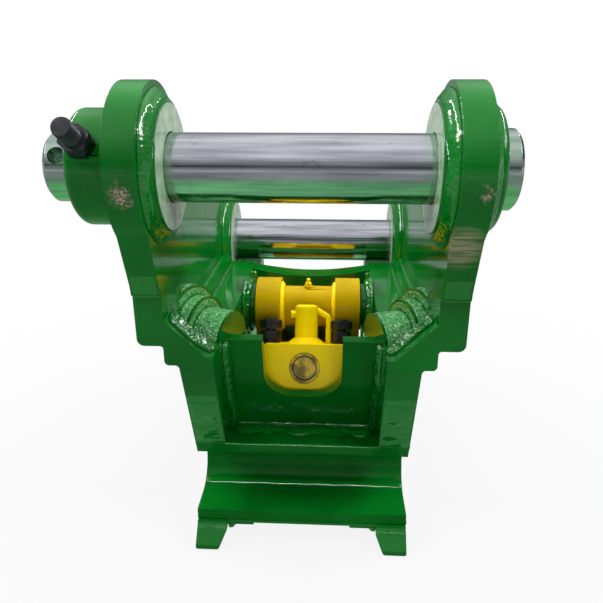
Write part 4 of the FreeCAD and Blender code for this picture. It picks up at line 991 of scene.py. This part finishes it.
def threads(name, start, way, length, radius):
    """Threaded end of a bolt: a helical ridge of coarse pitch with a chamfered tip."""
    pitch, depth, chamfer, sides, rows_a_turn = 2.5 * MM, 0.9 * MM, 2 * MM, 36, 8
    rows = round(length / pitch * rows_a_turn)
    side = way.cross(Vector((1, 0, 0))).normalized()
    other = way.cross(side)
    verts, faces = [], []
    for j in range(rows + 1):
        s = length * j / rows
        for k in range(sides):
            turn = k / sides
            ridge = abs(2 * ((s / pitch - turn) % 1.0) - 1)
            reach = radius + depth * min(1.0, 1.3 * ridge) * min(1.0, (length - s) / chamfer)
            angle = 2 * math.pi * turn
            verts.append(start + way * s + (side * math.cos(angle) + other * math.sin(angle)) * reach)
    for j in range(rows):
        for k in range(sides):
            m = (k + 1) % sides
            faces.append((j * sides + k, j * sides + m, (j + 1) * sides + m, (j + 1) * sides + k))
    faces.append(tuple(range(sides)))
    faces.append(tuple(rows * sides + k for k in range(sides)))
    mesh_piece(name, "frame", verts, faces, FINISHES["black_oxide"])


def lock_threads():
    """Threads beyond the nuts of the two lock bolts."""
    tilt = math.radians(27)
    way = Vector((0, -math.cos(tilt), math.sin(tilt)))
    bolt_x = -EAR_OUT - 32 * MM
    nuts_end = OUTER_LEFT_R + 23.2 * MM
    tip = OUTER_LEFT_R + 50 * MM
    tip_gap = 0.4 * MM
    root_r = 10.05 * MM
    for name, centre in (("stick", STICK), ("link", LINK)):
        axis = Vector((bolt_x, centre.y, centre.z))
        threads(f"thread_{name}", axis + way * nuts_end, way, tip - nuts_end - tip_gap, root_r)


boss_welds()
pivot_welds()
step_welds()
gusset_welds()
body_front_welds()
lip_front_bar()
jaw_ridge()
foot_welds()
outer_welds()
inner_welds()
lock_threads()


# Studio floor: its half width, its grey, and its share of white glow, which grows from the middle outwards
FLOOR_HALF = 40.0
FLOOR_GREY = 0.3
FLOOR_MIDDLE_Y = 0.2
MIDDLE_GLOW = 0.88
GLOW_FROM = 0.35
GLOW_TO = 1.3

# Bands of the workshop wall that only reflections see: foot and head in metres, and grey level
WALL_R = 5.0
WALL_BANDS = (
    (0.00, 0.55, 0.60), (0.55, 1.15, 0.34), (1.15, 2.05, 0.12), (2.05, 2.30, 0.42), (2.30, 2.75, 0.26),
    (2.75, 3.70, 0.45), (3.70, 4.90, 0.70),
)
WALL_BLUE = 1.04

# Rings of the workshop floor that only reflections see: inner and outer radius in metres, and colour
FLOOR_RINGS = (
    (0.0, 0.80, (0.24, 0.68, 0.29)), (0.80, 1.6, (0.34, 0.43, 0.36)), (1.6, WALL_R, (0.38, 0.40, 0.39)),
)
RING_STEPS = 48

# Light from all round
WORLD_STRENGTH = 0.08


def only_seen(nodes, links):
    """1 for rays of the camera, of reflections and through glass, else 0."""
    rays = nodes.new("ShaderNodeLightPath")
    seen = nodes.new("ShaderNodeMath")
    seen.operation = "MAXIMUM"
    either = nodes.new("ShaderNodeMath")
    either.operation = "MAXIMUM"
    links.new(rays.outputs["Is Camera Ray"], seen.inputs[0])
    links.new(rays.outputs["Is Glossy Ray"], seen.inputs[1])
    links.new(seen.outputs[0], either.inputs[0])
    links.new(rays.outputs["Is Transmission Ray"], either.inputs[1])
    return either.outputs[0]


def white_floor():
    """Pale floor that shows white away from the object and keeps its shadow close by."""
    g = Graph("floor_white")
    g.nodes.clear()
    diffuse = g.add("ShaderNodeBsdfDiffuse", Color=(FLOOR_GREY, FLOOR_GREY, FLOOR_GREY, 1))
    glow = g.add("ShaderNodeEmission", Color=(1, 1, 1, 1), Strength=1.0)
    place = g.add("ShaderNodeTexCoord")
    gap = g.add("ShaderNodeVectorMath", operation="DISTANCE")
    gap.inputs[1].default_value = (0, FLOOR_MIDDLE_Y, FLOOR_Z)
    share = g.add(
        "ShaderNodeMapRange", interpolation_type="SMOOTHSTEP", From_Min=GLOW_FROM, From_Max=GLOW_TO,
        To_Min=MIDDLE_GLOW, To_Max=1.0)
    mix = g.add("ShaderNodeMixShader")
    out = g.add("ShaderNodeOutputMaterial")
    g.join(place.outputs["Object"], gap.inputs[0])
    g.join(gap.outputs["Value"], share.inputs["Value"])
    g.join(g.product(share.outputs["Result"], only_seen(g.nodes, g.links)), mix.inputs[0])
    g.join(diffuse.outputs[0], mix.inputs[1])
    g.join(glow.outputs[0], mix.inputs[2])
    g.join(mix.outputs[0], out.inputs["Surface"])
    return g.material


def stage_mesh(name, verts, faces, material):
    """Piece of the studio, which is no part of the object."""
    mesh = bpy.data.meshes.new(name)
    mesh.from_pydata(verts, [], faces)
    mesh.materials.append(material)
    piece = bpy.data.objects.new(name, mesh)
    bpy.context.scene.collection.objects.link(piece)
    return piece


def studio_floor():
    """Wide flat floor under the feet."""
    signs = ((-1, -1), (1, -1), (1, 1), (-1, 1))
    corners = [(x * FLOOR_HALF, y * FLOOR_HALF, FLOOR_Z) for x, y in signs]
    stage_mesh("studio_floor", corners, [(0, 1, 2, 3)], white_floor())


def reflected(name, inner, outer, colour):
    """Glowing ring between two circles, given as (radius, height), that only reflections see."""
    verts = []
    for i in range(RING_STEPS):
        angle = 2 * math.pi * i / RING_STEPS
        for radius, z in (inner, outer):
            verts.append((radius * math.cos(angle), radius * math.sin(angle), FLOOR_Z + z))
    faces = []
    for i in range(RING_STEPS):
        j = (i + 1) % RING_STEPS
        faces.append((2 * i, 2 * i + 1, 2 * j + 1, 2 * j))
    g = Graph(name)
    g.nodes.clear()
    glow = g.add("ShaderNodeEmission", Color=(*colour, 1))
    out = g.add("ShaderNodeOutputMaterial")
    g.join(glow.outputs[0], out.inputs["Surface"])
    card = stage_mesh(name, verts, faces, g.material)
    card.visible_camera = False
    card.visible_diffuse = False
    card.visible_shadow = False


def studio_wall():
    """Banded wall and floor round the object that only reflections see, as those of a workshop."""
    for index, (low, high, level) in enumerate(WALL_BANDS):
        reflected(f"studio_wall_{index}", (WALL_R, low), (WALL_R, high), (level, level, WALL_BLUE * level))
    for index, (inner, outer, colour) in enumerate(FLOOR_RINGS):
        reflected(f"floor_sheen_{index}", (inner, 1 * MM), (outer, 1 * MM), colour)


def world_light(strength):
    """Soft light from all round; the camera and reflections see white behind everything."""
    world = bpy.data.worlds.new("studio_world")
    bpy.context.scene.world = world
    world.use_nodes = True
    nodes = world.node_tree.nodes
    links = world.node_tree.links
    back = nodes["Background"]
    back.inputs["Color"].default_value = (1, 1, 1, 1)
    level = nodes.new("ShaderNodeMapRange")
    level.inputs["To Min"].default_value = strength
    level.inputs["To Max"].default_value = 1.0
    links.new(only_seen(nodes, links), level.inputs["Value"])
    links.new(level.outputs["Result"], back.inputs["Strength"])


def softbox(name, place, target, width, height, power, glints=True, receivers=None):
    """Lamp in metres and watts that looks at a target, and lights its receivers alone if it has any."""
    light = bpy.data.lights.new(name, "AREA")
    light.shape = "RECTANGLE"
    light.size = width
    light.size_y = height
    light.energy = power
    lamp = bpy.data.objects.new(name, light)
    bpy.context.scene.collection.objects.link(lamp)
    lamp.location = place
    lamp.visible_glossy = glints
    lamp.light_linking.receiver_collection = receivers
    lamp.rotation_euler = (Vector(target) - Vector(place)).to_track_quat("-Z", "Y").to_euler()


def camera():
    """The photograph's viewpoint: close, a little above the pins and looking down."""
    pitch = math.radians(20.0)
    yaw = math.radians(2.8)
    focal_px = 600.0
    frame_px = 603.0
    ahead = Vector((-math.sin(yaw) * math.cos(pitch), math.cos(yaw) * math.cos(pitch), -math.sin(pitch)))
    data = bpy.data.cameras.new("photo_camera")
    data.sensor_width = 36.0
    data.lens = data.sensor_width * focal_px / frame_px
    data.clip_start = 0.01
    eye = bpy.data.objects.new("photo_camera", data)
    bpy.context.scene.collection.objects.link(eye)
    eye.location = Vector((35, -705, 93)) * MM
    eye.rotation_euler = ahead.to_track_quat("-Z", "Y").to_euler()
    bpy.context.scene.camera = eye


studio_floor()
studio_wall()
world_light(WORLD_STRENGTH)
softbox(
    "top_light", place=(0.0, 1.5, 2.6), target=(0, 1.5, 0), width=8.0, height=4.8, power=370,
    glints=False)
softbox(
    "front_strip", place=(-0.15, -1.6, 2.15), target=(0, 0, -0.4), width=1.4, height=0.07, power=30,
    receivers=MADE_HERE)
softbox(
    "front_fill", place=(0.3, -2.6, 0.2), target=(0, 0, -0.3), width=1.6, height=0.8, power=21,
    glints=False)
for side_name, side in SIDES:
    softbox(
        f"{side_name}_tube", place=(2.0 * side, 0.7, 2.0), target=(0, 0.7, -0.4), width=4.0, height=0.07,
        power=55)
for side_name, side in SIDES:
    softbox(
        f"{side_name}_box", place=(2.2 * side, -0.5, 1.8), target=(0, 0, -0.3), width=1.3, height=0.9,
        power=34)
camera()
bpy.context.scene.view_settings.view_transform = "Standard"
